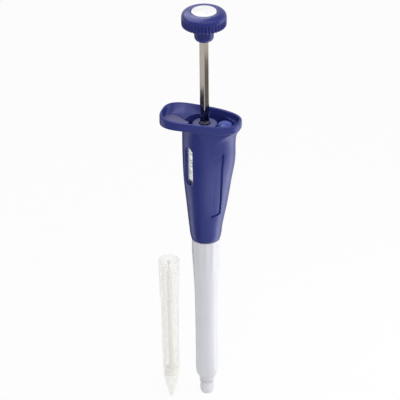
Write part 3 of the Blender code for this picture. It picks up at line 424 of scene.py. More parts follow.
@dataclass(frozen=True)
class EffectGroup:
    """A shader node group that turns a position into a tint, a roughness and a height."""

    name: str

    def start(self) -> tuple[NodeTree, bpy.types.Node, bpy.types.Node]:
        """Make the empty group with its sockets.

        Returns:
            Its tree, its input node and its output node.
        """
        group = bpy.data.node_groups.new(self.name, "ShaderNodeTree")
        kinds = {"Vector": "NodeSocketVector", "Colour": "NodeSocketColor"}
        for title in ("Vector", "Colour", "Roughness", "Amount", "Grain Scale"):
            kind = kinds.get(title, "NodeSocketFloat")
            group.interface.new_socket(title, in_out="INPUT", socket_type=kind)
        for title in ("Colour", "Roughness", "Height"):
            kind = kinds.get(title, "NodeSocketFloat")
            group.interface.new_socket(title, in_out="OUTPUT", socket_type=kind)
        tree = NodeTree(group)
        return tree, tree.add("NodeGroupInput"), tree.add("NodeGroupOutput")

    def grain_place(self, tree: NodeTree, source: bpy.types.Node) -> Socket:
        """Scale the group's position by its grain scale.

        Args:
            tree: The group's tree.
            source: The group's input node.

        Returns:
            The scaled position.
        """
        inputs = {0: source.outputs["Vector"], "Scale": source.outputs["Grain Scale"]}
        return tree.add("ShaderNodeVectorMath", inputs, operation="SCALE").outputs[0]

    def tinted(self, tree: NodeTree, colour: Socket, value: Socket) -> Socket:
        """Multiply a colour by a changing value.

        Args:
            tree: The group's tree.
            colour: The plain colour.
            value: How light it is at each place.

        Returns:
            The tinted colour.
        """
        inputs = {"Factor": 1.0, "A": colour, "B": value}
        return tree.add("ShaderNodeMix", inputs, data_type="RGBA", blend_type="MULTIPLY").outputs["Result"]


class MouldedEffect(EffectGroup):
    """Moulded plastic: fine spark-eroded grain, slow clouding, smudges and hairline scratches."""

    def build(self) -> bpy.types.ShaderNodeTree:
        """Make the group: height is fine noise, tint is slow noise, roughness adds smudges and scratches.

        Returns:
            The node group.
        """
        tree, source, result = self.start()
        vector = source.outputs["Vector"]
        grain = tree.noise(self.grain_place(tree, source), 1.0, 3.0, 0.6)
        cloud = tree.noise(vector, 55.0, 3.0)
        smudge = tree.noise(vector, 160.0, 5.0, 0.6)
        turn, size = (0.5, 0.3, 0.2), (1.0, 1.0, 0.05)
        stretch = tree.add("ShaderNodeMapping", {"Vector": vector, "Rotation": turn, "Scale": size})
        lines = tree.remap(tree.noise(stretch.outputs[0], 2600.0, 2.0, 0.8), 0.70, 0.80, 0.0, 1.0)
        tint = tree.remap(cloud, 0.3, 0.7, 0.975, 1.02)
        rub = tree.remap(smudge, 0.35, 0.7, -0.5, 0.5)
        change = tree.math("MULTIPLY", tree.math("ADD", rub, lines), source.outputs["Amount"])
        tree.fill(result, {
            "Colour": self.tinted(tree, source.outputs["Colour"], tint),
            "Roughness": tree.math("ADD", source.outputs["Roughness"], change),
            "Height": tree.math("SUBTRACT", grain, tree.math("MULTIPLY", lines, 0.4)),
        })
        return tree.tree


class DrawnEffect(EffectGroup):
    """Drawn or turned metal: fine lines along the grain, with slow stains."""

    def build(self) -> bpy.types.ShaderNodeTree:
        """Make the group: lines are noise on the already stretched position, stains are slow noise.

        Returns:
            The node group.
        """
        tree, source, result = self.start()
        vector = source.outputs["Vector"]
        lines = tree.noise(self.grain_place(tree, source), 1.0, 6.0, 0.7)
        stain = tree.noise(vector, 90.0, 4.0)
        streaks = tree.remap(lines, 0.3, 0.7, 0.92, 1.04)
        tint = tree.math("ADD", streaks, tree.remap(stain, 0.3, 0.7, -0.05, 0.05))
        change = tree.math("MULTIPLY", tree.math("SUBTRACT", lines, 0.5), source.outputs["Amount"])
        tree.fill(result, {
            "Colour": self.tinted(tree, source.outputs["Colour"], tint),
            "Roughness": tree.math("ADD", source.outputs["Roughness"], change),
            "Height": lines,
        })
        return tree.tree


MouldedEffect("moulded plastic").build()
DrawnEffect("drawn metal").build()


@dataclass(frozen=True)
class Finish:
    """A finish of the pipette: its colour, how rough it is and how fine its grain is."""

    name: str
    slot: str
    colour: Colour
    roughness: float
    amount: float = 0.12
    grain_scale: float = 2500.0
    grain_depth: float = 0.02
    specular: float = 0.5
    coat: float = 0.0
    metallic: float = 0.0
    ior: float = 1.49
    subsurface: float = 0.0
    alpha: float = 1.0
    edge_alpha: float | None = None
    # Emission in the finish's own colour: painted light that brightens parts lying in shade.
    glow: float = 0.0
    direction: Grain = Grain.EVEN
    effect: str = "moulded plastic"

    def material(self) -> bpy.types.Material:
        """Build the material: its effect group feeds the shader's colour, roughness and bump.

        Returns:
            The material, with the record's slot kept on it.
        """
        material = bpy.data.materials.new(self.name)
        material["slot"] = self.slot
        material.use_nodes = True
        tree = NodeTree(material.node_tree)
        shader = material.node_tree.nodes["Principled BSDF"]
        place = tree.add("ShaderNodeTexCoord").outputs["Object"]
        mapping = tree.add("ShaderNodeMapping", {"Vector": place, "Scale": self.direction.value})
        group = tree.add("ShaderNodeGroup", {
            "Vector": mapping.outputs[0],
            "Colour": linear(self.colour),
            "Roughness": self.roughness,
            "Amount": self.amount,
            "Grain Scale": self.grain_scale,
        }, node_tree=bpy.data.node_groups[self.effect])
        relief = {"Strength": 0.35, "Distance": self.grain_depth * MM, "Height": group.outputs["Height"]}
        tree.fill(shader, {
            "Base Color": group.outputs["Colour"],
            "Roughness": group.outputs["Roughness"],
            "Normal": tree.add("ShaderNodeBump", relief).outputs["Normal"],
            "Metallic": self.metallic,
            "Specular IOR Level": self.specular,
            "IOR": self.ior,
            "Coat Weight": self.coat,
            "Coat Roughness": 0.08,
            "Alpha": self.alpha,
            # The glow is painted light, an emission that no lamp gives.
            "Emission Color": linear(self.colour),
            "Emission Strength": self.glow,
            "Subsurface Weight": self.subsurface,
            "Subsurface Radius": (1.0, 1.0, 1.0),
            "Subsurface Scale": 1.5 * MM,
        })
        if self.edge_alpha is not None:
            facing = tree.add("ShaderNodeLayerWeight", {"Blend": 0.35}).outputs["Facing"]
            tree.fill(shader, {"Alpha": tree.remap(facing, 0.0, 1.0, self.alpha, self.edge_alpha)})
        material.diffuse_color = linear(self.colour)
        return material


METAL = {"metallic": 1.0, "effect": "drawn metal", "grain_depth": 0.004, "amount": 0.25}
PALE_LOOK = {"grain_scale": 4200.0, "grain_depth": 0.008, "amount": 0.08, "specular": 0.06}
PALE_LOOK["subsurface"] = 0.08
# The glow of the tip's rod and piston is painted light that brightens them inside the clear tube.
TIP_LOOK = {"grain_scale": 4200.0, "grain_depth": 0.01, "specular": 0.2, "glow": 0.1}
FINISHES = {
    "handle": Finish(
        "violet blue moulding", "handle_plastic", (42, 51, 126), 0.36,
        specular=0.26, grain_scale=5200.0, grain_depth=0.012,
    ),
    "knob": Finish(
        "violet blue knob", "handle_plastic", (34, 40, 118), 0.34,
        specular=0.26, grain_scale=5200.0, grain_depth=0.01,
    ),
    # Also worn by the pad's seat, whose showing edge is painted shade, and by the dark peg at the window's
    # foot.
    "deck": Finish(
        "tray floor moulding", "handle_plastic", (28, 32, 84), 0.5,
        specular=0.2, grain_scale=4200.0,
    ),
    "pad": Finish(
        "soft finger pad", "soft_pad", (96, 95, 142), 0.55,
        specular=0.3, grain_scale=3200.0, grain_depth=0.03,
    ),
    "boss": Finish(
        "guide boss moulding", "guide_plastic", (80, 84, 138), 0.42,
        specular=0.45, grain_scale=4800.0,
    ),
    "button": Finish(
        "bright blue button", "button_plastic", (40, 64, 160), 0.28,
        grain_scale=5200.0, grain_depth=0.01,
    ),
    "cap": Finish(
        "white gloss cap", "cap_plastic", (250, 250, 251), 0.16,
        amount=0.06, grain_depth=0.004, coat=0.3,
    ),
    "barrel": Finish("satin white barrel", "barrel_plastic", (230, 231, 237), 0.3, **PALE_LOOK),
    "nose": Finish("satin white nose", "barrel_plastic", (233, 234, 240), 0.3, **PALE_LOOK),
    "seal": Finish("pale seal rubber", "seal_rubber", (222, 222, 228), 0.5, specular=0.35),
    "rod": Finish(
        "bright drawn rod", "rod_steel", (176, 168, 158), 0.1,
        direction=Grain.UPRIGHT, grain_scale=9000.0, **METAL,
    ),
    "steel": Finish(
        "spring steel", "spring_steel", (176, 178, 182), 0.26,
        direction=Grain.TURNED, grain_scale=5000.0, **METAL,
    ),
    "brass": Finish(
        "turned brass", "nut_brass", (196, 162, 96), 0.28,
        direction=Grain.TURNED, grain_scale=5000.0, **METAL,
    ),
    "alloy": Finish("tumbled alloy", "frame_alloy", (178, 180, 184), 0.42, grain_scale=3200.0, **METAL),
    "polymer": Finish("slide polymer", "slide_polymer", (222, 219, 208), 0.42, grain_scale=3800.0),
    # Its glow is painted light: it brightens the counter in the shade of the narrow window.
    "counter": Finish(
        "counter white", "counter_plastic", (244, 244, 244), 0.35,
        grain_scale=4200.0, grain_depth=0.006, glow=0.4,
    ),
    "ink": Finish(
        "counter ink", "counter_plastic", (24, 24, 34), 0.4,
        grain_scale=6000.0, grain_depth=0.004,
    ),
    "window": Finish(
        "window clear", "window_clear", (240, 243, 246), 0.06,
        amount=0.04, grain_depth=0.002, specular=0.2, alpha=0.08, edge_alpha=0.3,
    ),
    # The tip's glow is painted light that brightens its see-through walls.
    "tip": Finish(
        "frosted tip moulding", "tip_clear", (250, 249, 245), 0.24,
        amount=0.08, grain_depth=0.004, specular=0.2, alpha=0.13, edge_alpha=0.6, glow=0.08,
    ),
    "tip_stem": Finish("tip rod moulding", "tip_rod_plastic", (243, 241, 235), 0.38, **TIP_LOOK),
    "tip_seal": Finish("tip piston moulding", "tip_seal", (244, 243, 238), 0.42, **TIP_LOOK),
}


def mixed_palette() -> Palette:
    """Build the material of every finish.

    Returns:
        The materials by their finish's key.
    """
    return {key: finish.material() for key, finish in FINISHES.items()}


@dataclass
class SubAssembly:
    """A sub-assembly: where its sizes are measured from, and the finishes that it wears."""

    datum: Datum
    palette: Palette

    def show(self, mesh: Mesh, body: Body, key: str, *stands_for: str) -> None:
        """Put a finished mesh in the scene, on its body and in its finish.

        Args:
            mesh: The mesh, already in its place.
            body: The body that it rides on.
            key: Its finish's key.
            stands_for: CAD nodes that it replaces.
        """
        finish = self.palette[key]
        mesh.materials.clear()
        mesh.materials.append(finish)
        thing = placed(mesh.name, mesh)
        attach(thing, body.value)
        if stands_for:
            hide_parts(*stands_for)
        LOG.info("%s: %d faces on %s", mesh.name, len(mesh.polygons), body.value)

    def skinned(self, name: str, points: Array, along: bool = True) -> Mesh:
        """Skin a grid of millimetre points that closes round the axis.

        Args:
            name: The mesh's name.
            points: Rows by columns by x, y and z in millimetres.
            along: Whether the last row joins the first.

        Returns:
            The finished mesh.
        """
        return grid_mesh(name, self.datum.place(points), along=along)

    def turned(
        self, name: str, profile: Array, centre: Pair = (0.0, 0.0), columns: int = 96, closed: bool = True
    ) -> Mesh:
        """Turn a profile round an upright axis.

        Args:
            name: The mesh's name.
            profile: Rows of radius and height in millimetres.
            centre: The axis, in millimetres from the plunger's.
            columns: Points round each row.
            closed: Whether the profile's last row joins the first; if not, it ends on the axis.

        Returns:
            The finished mesh.
        """
        points = around_axis(profile[:, :1], columns_round(columns), profile[:, 1:2])
        return self.skinned(name, points + np.array([*centre, 0.0]), along=closed)


# The handle


@dataclass
class HandleMoulding(SubAssembly):
    """The handle, from its foot to the rolled rim of the tray, with its window and recess."""

    foot: float = 121.6
    rim_under: float = 207.7
    rim_top: float = 213.3
    sections: tuple[tuple[float, float, float, float], ...] = (
        (121.6, 9.75, 9.6, 9.6), (124.0, 10.3, 10.3, 10.0), (130.8, 11.1, 11.2, 10.7),
        (149.2, 12.9, 14.8, 12.2), (167.5, 14.6, 17.8, 13.5), (183.0, 15.2, 20.4, 14.0),
        (198.5, 15.3, 21.0, 14.05), (201.5, 15.3, 21.45, 14.15), (203.9, 15.3, 22.2, 14.4),
        (206.0, 15.3, 23.2, 14.75), (207.7, 15.3, 24.3, 15.2),
    )
    wall: float = 1.8
    rim_left: float = 29.9
    rim_right: float = 24.7
    rim_half_depth: float = 15.1
    rim_skew: float = 0.17
    rim_squareness: float = 2.9
    rim_wall: float = 2.0
    rim_rise: float = 1.4
    early_end: float = 0.32
    dish_floor: float = 209.0
    deck_top: float = 203.5
    under_drop: float = 1.1
    dish_width: float = 1.1
    scoop_start: Pair = (60.0, 110.0)
    scoop_end: Pair = (186.0, 200.0)
    scoop_from: float = 45.0
    well_reach: Triple = (15.2, 21.1, 14.1)
    groove: tuple[Pair, ...] = (
        (-30.0, -0.5), (-27.9, 1.2), (-25.6, 3.8), (-23.3, 4.9), (-20.0, 3.9), (-17.0, 1.65),
        (-13.2, -1.9),
    )
    union_radius: float = 9.2
    union_z: Pair = (126.7, 130.7)
    spigot_radius: float = 8.0
    window_azimuth: float = 39.5
    window_width: float = 7.0
    window_height: float = 28.0
    window_z: float = 179.8
    window_roll: float = 0.55
    recess_top: float = 190.0
    recess_foot: float = 142.2
    recess_slant: float = 2.2
    recess_left: Pair = (-68.0, -63.5)
    recess_right: tuple[Pair, ...] = ((0.0, -43.6), (0.17, -45.0), (0.5, -39.3), (1.0, -30.5))
    recess_depth: float = 0.6
    recess_groove: float = 0.85
    columns: int = 380
    side_rows: int = 150

    def angles(self) -> Array:
        """Place the columns round the axis, closer together over the window and the recess.

        Returns:
            Their angles in radians.
        """
        spots = ((-127.5, 24.0, 2.6), (-52.0, 26.0, 2.6), (-180.0, 18.0, 0.9))
        return np.radians(spread(self.columns + 1, -270.0, 90.0, spots)[:-1])

    def oval(self, angle: Array, left: Array, right: Array, depth: Array) -> Array:
        """Radius of a shifted ellipse along a ray from the axis, the larger root of its quadratic.

        Args:
            angle: Directions of the rays.
            left: Reach to the left, one per row.
            right: Reach to the right, one per row.
            depth: Half depth, one per row.

        Returns:
            Rows by columns of radii.
        """
        centre, half = ((right - left) / 2)[:, None], ((right + left) / 2)[:, None]
        along, across = np.cos(angle)[None, :], np.sin(angle)[None, :]
        square = (along / half) ** 2 + (across / depth[:, None]) ** 2
        cross = -centre * along / half**2
        rest = (centre / half) ** 2 - 1
        return (-cross + np.sqrt(cross**2 - square * rest)) / square

    def single_oval(self, angle: Array, reach: Array) -> Array:
        """Radius of one shifted ellipse.

        Args:
            angle: Directions of the rays.
            reach: Its reach to the left and to the right and its half depth.

        Returns:
            One radius for each direction.
        """
        return self.oval(angle, *np.asarray(reach)[:, None])[0]

    def rim(self, angle: Array, inset: Array) -> Array:
        """Radius of the rim's outline, a skewed superellipse, moved in along its own normal.

        Args:
            angle: Directions of the rays from the axis.
            inset: How far each column is moved in.

        Returns:
            One radius for each direction.
        """
        turn = np.linspace(-math.pi, math.pi, 2401)
        along, across = np.cos(turn), np.sin(turn)
        power = 2.0 / self.rim_squareness
        half = (self.rim_left + self.rim_right) / 2
        x = (self.rim_right - self.rim_left) / 2 + half * np.sign(along) * np.abs(along) ** power
        y = self.rim_half_depth * np.sign(across) * np.abs(across) ** power * (1 - self.rim_skew * along)
        run_x, run_y = np.gradient(x), np.gradient(y)
        length = np.maximum(np.hypot(run_x, run_y), 1e-9)
        polar = np.unwrap(np.arctan2(y, x))
        deep = np.interp(polar, angle, inset, period=FULL_TURN)
        x_in, y_in = x - deep * run_y / length, y + deep * run_x / length
        bearing = np.unwrap(np.arctan2(y_in, x_in))
        return np.interp(np.mod(angle - bearing[0], FULL_TURN) + bearing[0], bearing, np.hypot(x_in, y_in))

    def section(self, height: Array) -> Array:
        """Read the handle's size at each height, on a soft curve through the sections.

        Args:
            height: Heights in millimetres.

        Returns:
            Rows of left reach, right reach and half depth.
        """
        table = np.array(self.sections)
        return smooth_through(height, table[:, 0], table[:, 1:])

    def recess_dip(
        self, angle: Array, height: Array, half: Array, centre: Array, depth: Array, radius: Array
    ) -> Array:
        """Depth of the bare recess: an even floor with a groove along its right side and its foot.

        Each side is a smooth step: steep at the right side and at the foot, softer at the left
        side and at the top. The groove is one less a smooth step of the nearer distance.

        Args:
            angle: Directions of the columns.
            height: Heights of the rows.
            half: Half length of each row's oval.
            centre: Centre of each row's oval.
            depth: Half depth of each row's oval.
            radius: Radii before the recess.

        Returns:
            Depth of the recess at each point.
        """
        x, y = radius * np.cos(angle)[None, :], radius * np.sin(angle)[None, :]
        turn = np.degrees(np.arctan2(y / depth[:, None], (x - centre[:, None]) / half[:, None]))
        length = self.recess_top - self.recess_foot
        share = np.clip((self.recess_top - height) / length, 0.0, 1.0)[:, None]
        first = self.recess_left[0] + (self.recess_left[1] - self.recess_left[0]) * share
        bend = np.array(self.recess_right)
        last = smooth_through(share[:, 0], bend[:, 0], bend[:, 1])[:, None]
        across = (turn - first) / (last - first)
        width = np.radians(last - first) * (half[:, None] + depth[:, None]) / 2
        to_right = (1 - across) * width
        to_foot = height[:, None] - self.recess_slant * np.clip(across, 0.0, 1.0) - self.recess_foot
        right = smooth_step(to_right, 0.0, 0.2)
        left = smooth_step(across * width, 0.0, 0.5)
        foot = smooth_step(to_foot, 0.0, 0.35)
        top = 1 - smooth_step(to_foot, length - 0.8, length)
        groove = 1 - smooth_step(np.minimum(to_right, to_foot), 0.8, 1.2)
        return (self.recess_depth + self.recess_groove * groove) * right * left * foot * top

    def window_dip(self, x: Array, y: Array, height: Array) -> Array:
        """Rolled edge of the window: a quarter circle that falls towards the slot's outline.

        Args:
            x: Points to the right of the axis.
            y: Points behind the axis.
            height: Heights of the rows.

        Returns:
            How far each point moves inwards.
        """
        turn = math.radians(self.window_azimuth)
        side = x * math.cos(turn) - y * math.sin(turn)
        front = -x * math.sin(turn) - y * math.cos(turn)
        straight = self.window_height / 2 - self.window_width / 2
        over = np.maximum(np.abs(height - self.window_z)[:, None] - straight, 0.0)
        outside = np.clip(np.hypot(side, over) - self.window_width / 2, 0.0, self.window_roll)
        rest = np.maximum(self.window_roll**2 - (self.window_roll - outside) ** 2, 0.0)
        return np.where(front > 0.0, self.window_roll - np.sqrt(rest), 0.0)

    def outside(self, angle: Array) -> tuple[Array, Array]:
        """Rows of the handle's side from its rounded foot up to the rim.

        Args:
            angle: Directions of the columns.

        Returns:
            Radii and heights, rows by columns.
        """
        spots = (
            (self.window_z + 14.0, 3.2, 2.0), (self.window_z - 14.0, 3.2, 2.0),
            (self.recess_foot + 1.1, 2.4, 4.0), (self.recess_top + 1.1, 2.4, 1.5),
            (self.rim_under, 3.0, 2.0),
        )
        height = spread(self.side_rows, self.foot + 0.5, self.rim_under - 0.05, spots)
        left, right, depth = self.section(height).T
        radius = self.oval(angle, left, right, depth)
        radius = np.minimum(radius, self.rim(angle, np.full_like(angle, 0.75))[None, :])
        half, centre = (left + right) / 2, (right - left) / 2
        radius = radius - self.recess_dip(angle, height, half, centre, depth, radius)
        radius = radius - self.window_dip(radius * np.cos(angle), radius * np.sin(angle), height)
        first = self.section(np.array([self.foot]))[0]
        rows, heights = [], []
        for share in np.linspace(0.0, 1.0, 5)[:-1]:
            inset = 0.5 * (1 - math.sin(share * math.pi / 2))
            rows.append(self.single_oval(angle, first - inset))
            heights.append(self.foot + 0.5 * (1 - math.cos(share * math.pi / 2)))
        start = np.broadcast_to(np.array(heights)[:, None], (len(rows), len(angle)))
        side = np.broadcast_to(height[:, None], radius.shape)
        return np.vstack([np.array(rows), radius]), np.vstack([start, side])

    def rim_and_dish(self, angle: Array) -> tuple[Array, Array]:
        """Rows over the rim: its rounded foot, its band, its rolled crest and the dished inside.

        The inside falls from the crest on a quarter ellipse. At the back left it is a scoop
        that reaches down to the well; everywhere else it is narrow and ends in a level floor.
        The crest is tilted: its left end stands higher than its right end.

        Args:
            angle: Directions of the columns.

        Returns:
            Radii and heights, rows by columns.
        """
        ones = np.ones_like(angle)
        rows, heights = [], []
        side = self.single_oval(angle, self.section(np.array([self.rim_under]))[0])
        foot = self.rim(angle, 0.8 * ones)
        side = np.minimum(side, self.rim(angle, 0.9 * ones))
        for share in np.linspace(0.1, 1.0, 8):
            rows.append(side + (foot - side) * share)
            heights.append(self.rim_under * ones)
        for turn in np.linspace(0.0, math.pi / 2, 6)[1:]:
            rows.append(self.rim(angle, (0.8 - 0.8 * math.sin(turn)) * ones))
            heights.append((self.rim_under + 0.8 - 0.8 * math.cos(turn)) * ones)
        roll = self.rim_wall / 2
        for height in np.linspace(self.rim_under + 0.8, self.rim_top - roll, 7)[1:]:
            rows.append(self.rim(angle, 0.0 * ones))
            heights.append(height * ones)
        bearing = np.mod(np.degrees(angle), 360.0)
        scooped = smooth_step(bearing, *self.scoop_start) * (1 - smooth_step(bearing, *self.scoop_end))
        last = math.pi * (1 - self.early_end * scooped)
        for share in np.linspace(0.0, 1.0, 15)[1:]:
            rows.append(self.rim(angle, roll - roll * np.cos(share * last)))
            heights.append(self.rim_top - roll + roll * np.sin(share * last))
        well = self.single_oval(angle, np.array(self.well_reach) - self.wall)
        inner = rows[-1]
        step = np.linspace(0.0, 1.0, 34)[1:, None] ** 1.8
        edge = np.minimum(well + 0.3, inner - 0.2)
        dish = inner + (edge - inner) * step
        level = self.dish_height(angle, dish, inner, well, heights[-1])
        low = np.minimum(level[-1], self.dish_floor) - 0.3
        over, under = (self.deck_top + 1.5) * ones, (self.deck_top - 0.5) * ones
        radius = np.vstack([rows, dish, edge, edge, edge])
        height = np.vstack([heights, level, low, over, under])
        share = np.clip((height - self.dish_floor) / (self.rim_top - roll - self.dish_floor), 0.0, 1.0)
        return radius, height - share * self.rim_rise * radius * np.cos(angle) / self.rim_left

    def dish_height(self, angle: Array, dish: Array, inner: Array, well: Array, start: Array) -> Array:
        """Height of the dish: a narrow quarter ellipse below the rim, and a scoop at the back left.

        The scoop falls from the rim's inside to the groove behind the finger pad and to the
        well's edge. Its fall is s times 2 less s, where s is the share of the way from the
        rim: the distance to the rim over that distance plus the distance to the scoop's foot.

        Args:
            angle: Directions of the columns.
            dish: Radii of the dish's rows, rows by columns.
            inner: Radii of the rim's inside.
            well: Radii of the well's edge.
            start: Heights of the rim's inside.

        Returns:
            Heights, rows by columns.
        """
        drop = start - self.dish_floor
        narrow = np.clip((inner - dish) / self.dish_width, 0.0, 1.0)
        plain = start - drop * np.sqrt(1 - (1 - narrow) ** 2)
        x, y = dish * np.cos(angle), dish * np.sin(angle)
        groove = np.array(self.groove)
        bearing = np.mod(np.degrees(angle), 360.0)
        past_start = bearing > self.scoop_from
        behind = past_start & (bearing < self.scoop_end[0])
        near_end = bearing < self.scoop_end[1]
        rim_line = np.stack([inner * np.cos(angle), inner * np.sin(angle)], axis=-1)[past_start & near_end]
        well_line = np.stack([well * np.cos(angle), well * np.sin(angle)], axis=-1)[behind]
        to_rim = self.nearest(x, y, rim_line)
        to_foot = np.minimum(self.nearest(x, y, well_line), self.nearest(x, y, self.densified(groove)))
        share = to_rim / np.maximum(to_rim + to_foot, 1e-6)
        scoop = start - drop * share * (2 - share)
        past = y - np.interp(x, groove[:, 0], groove[:, 1])
        weight = smooth_step(bearing, *self.scoop_start) * smooth_step(past, -0.2, 0.15) * near_end
        return plain + (scoop - plain) * np.where(x < groove[-1, 0], weight, weight * behind)

    @staticmethod
    def densified(line: Array, count: int = 60) -> Array:
        """Share out points evenly along a rising row of x and y.

        Args:
            line: Rows of x and y, x rising.
            count: How many points.

        Returns:
            The points' rows of x and y.
        """
        x = np.linspace(line[0, 0], line[-1, 0], count)
        return np.stack([x, np.interp(x, line[:, 0], line[:, 1])], axis=-1)

    @staticmethod
    def nearest(x: Array, y: Array, line: Array) -> Array:
        """Measure from each point to the nearest point of a line.

        Args:
            x: The points' x.
            y: The points' y.
            line: Rows of the line's x and y.

        Returns:
            One distance for each point.
        """
        return np.sqrt(((x[..., None] - line[:, 0]) ** 2 + (y[..., None] - line[:, 1]) ** 2).min(axis=-1))

    def inside(self, angle: Array) -> tuple[Array, Array]:
        """Rows down the hidden inside wall, to the seat of the barrel and its spigot.

        Args:
            angle: Directions of the columns.

        Returns:
            Radii and heights, rows by columns.
        """
        height = np.array([199.0, 190.0, 183.0, 175.0, 167.5, 158.0, 149.2, 140.0])
        left, right, depth = (self.section(height) - self.wall).T
        wall = self.oval(angle, left, right, depth)
        ring = np.ones_like(angle)
        seat, spigot = self.union_radius, self.spigot_radius
        lower = [seat, seat, spigot, spigot, spigot + 0.2]
        level = [self.union_z[1], self.union_z[0], self.union_z[0], self.foot + 0.2, self.foot]
        radius = np.vstack([wall, np.outer(lower, ring)])
        return radius, np.outer(np.concatenate([height, level]), ring)

    def window_cutter(self) -> bpy.types.Object:
        """Make the slot-shaped tool that opens the window: a stadium outline carried inwards.

        Returns:
            The hidden cutter.
        """
        half, straight = self.window_width / 2, (self.window_height - self.window_width) / 2
        turn = np.linspace(0.0, FULL_TURN, 64, endpoint=False)
        side = half * np.cos(turn)
        rise = half * np.sin(turn) + straight * np.sign(np.sin(turn) + 1e-12)
        azimuth = math.radians(self.window_azimuth)
        front = np.array([-math.sin(azimuth), -math.cos(azimuth), 0.0])
        across = np.array([math.cos(azimuth), -math.sin(azimuth), 0.0])
        middle = np.array([0.0, 0.0, self.window_z])
        outline = side[:, None] * across + np.outer(rise, [0.0, 0.0, 1.0]) + middle
        reach = np.array([18.0, 18.0, 9.0, 9.0])
        points = reach[:, None, None] * front + outline[None, :, :]
        points[0] = middle + reach[0] * front
        points[3] = middle + reach[3] * front
        return placed("window_tool", self.skinned("window_tool", points, along=False))

    def build(self) -> None:
        """Skin the handle, open its window and dress it."""
        angle = self.angles()
        parts = [self.outside(angle), self.rim_and_dish(angle), self.inside(angle)]
        radius = np.vstack([part[0] for part in parts])
        height = np.vstack([part[1] for part in parts])
        above = smooth_step(height, 208.5, self.rim_top - 1.0)
        near_rim = smooth_step(height, 198.0, self.rim_under) * (1 - above)
        height = height - self.under_drop * near_rim * smooth_step(radius * np.cos(angle), -4.0, 16.0)
        points = around_axis(radius, angle, height)
        mesh = self.skinned("handle_moulding", points)
        tool = self.window_cutter()
        body = placed("handle_blank", mesh)
        cut = body.modifiers.new("window", "BOOLEAN")
        cut.operation, cut.solver, cut.object = "DIFFERENCE", "EXACT", tool
        opened = bpy.data.meshes.new_from_object(body.evaluated_get(bpy.context.evaluated_depsgraph_get()))
        bpy.data.objects.remove(body)
        bpy.data.objects.remove(tool)
        bpy.data.meshes.remove(mesh)
        opened.name = "handle_moulding"
        tidy(opened)
        self.show(opened, Body.HANDLE, "handle", "handle_shell")


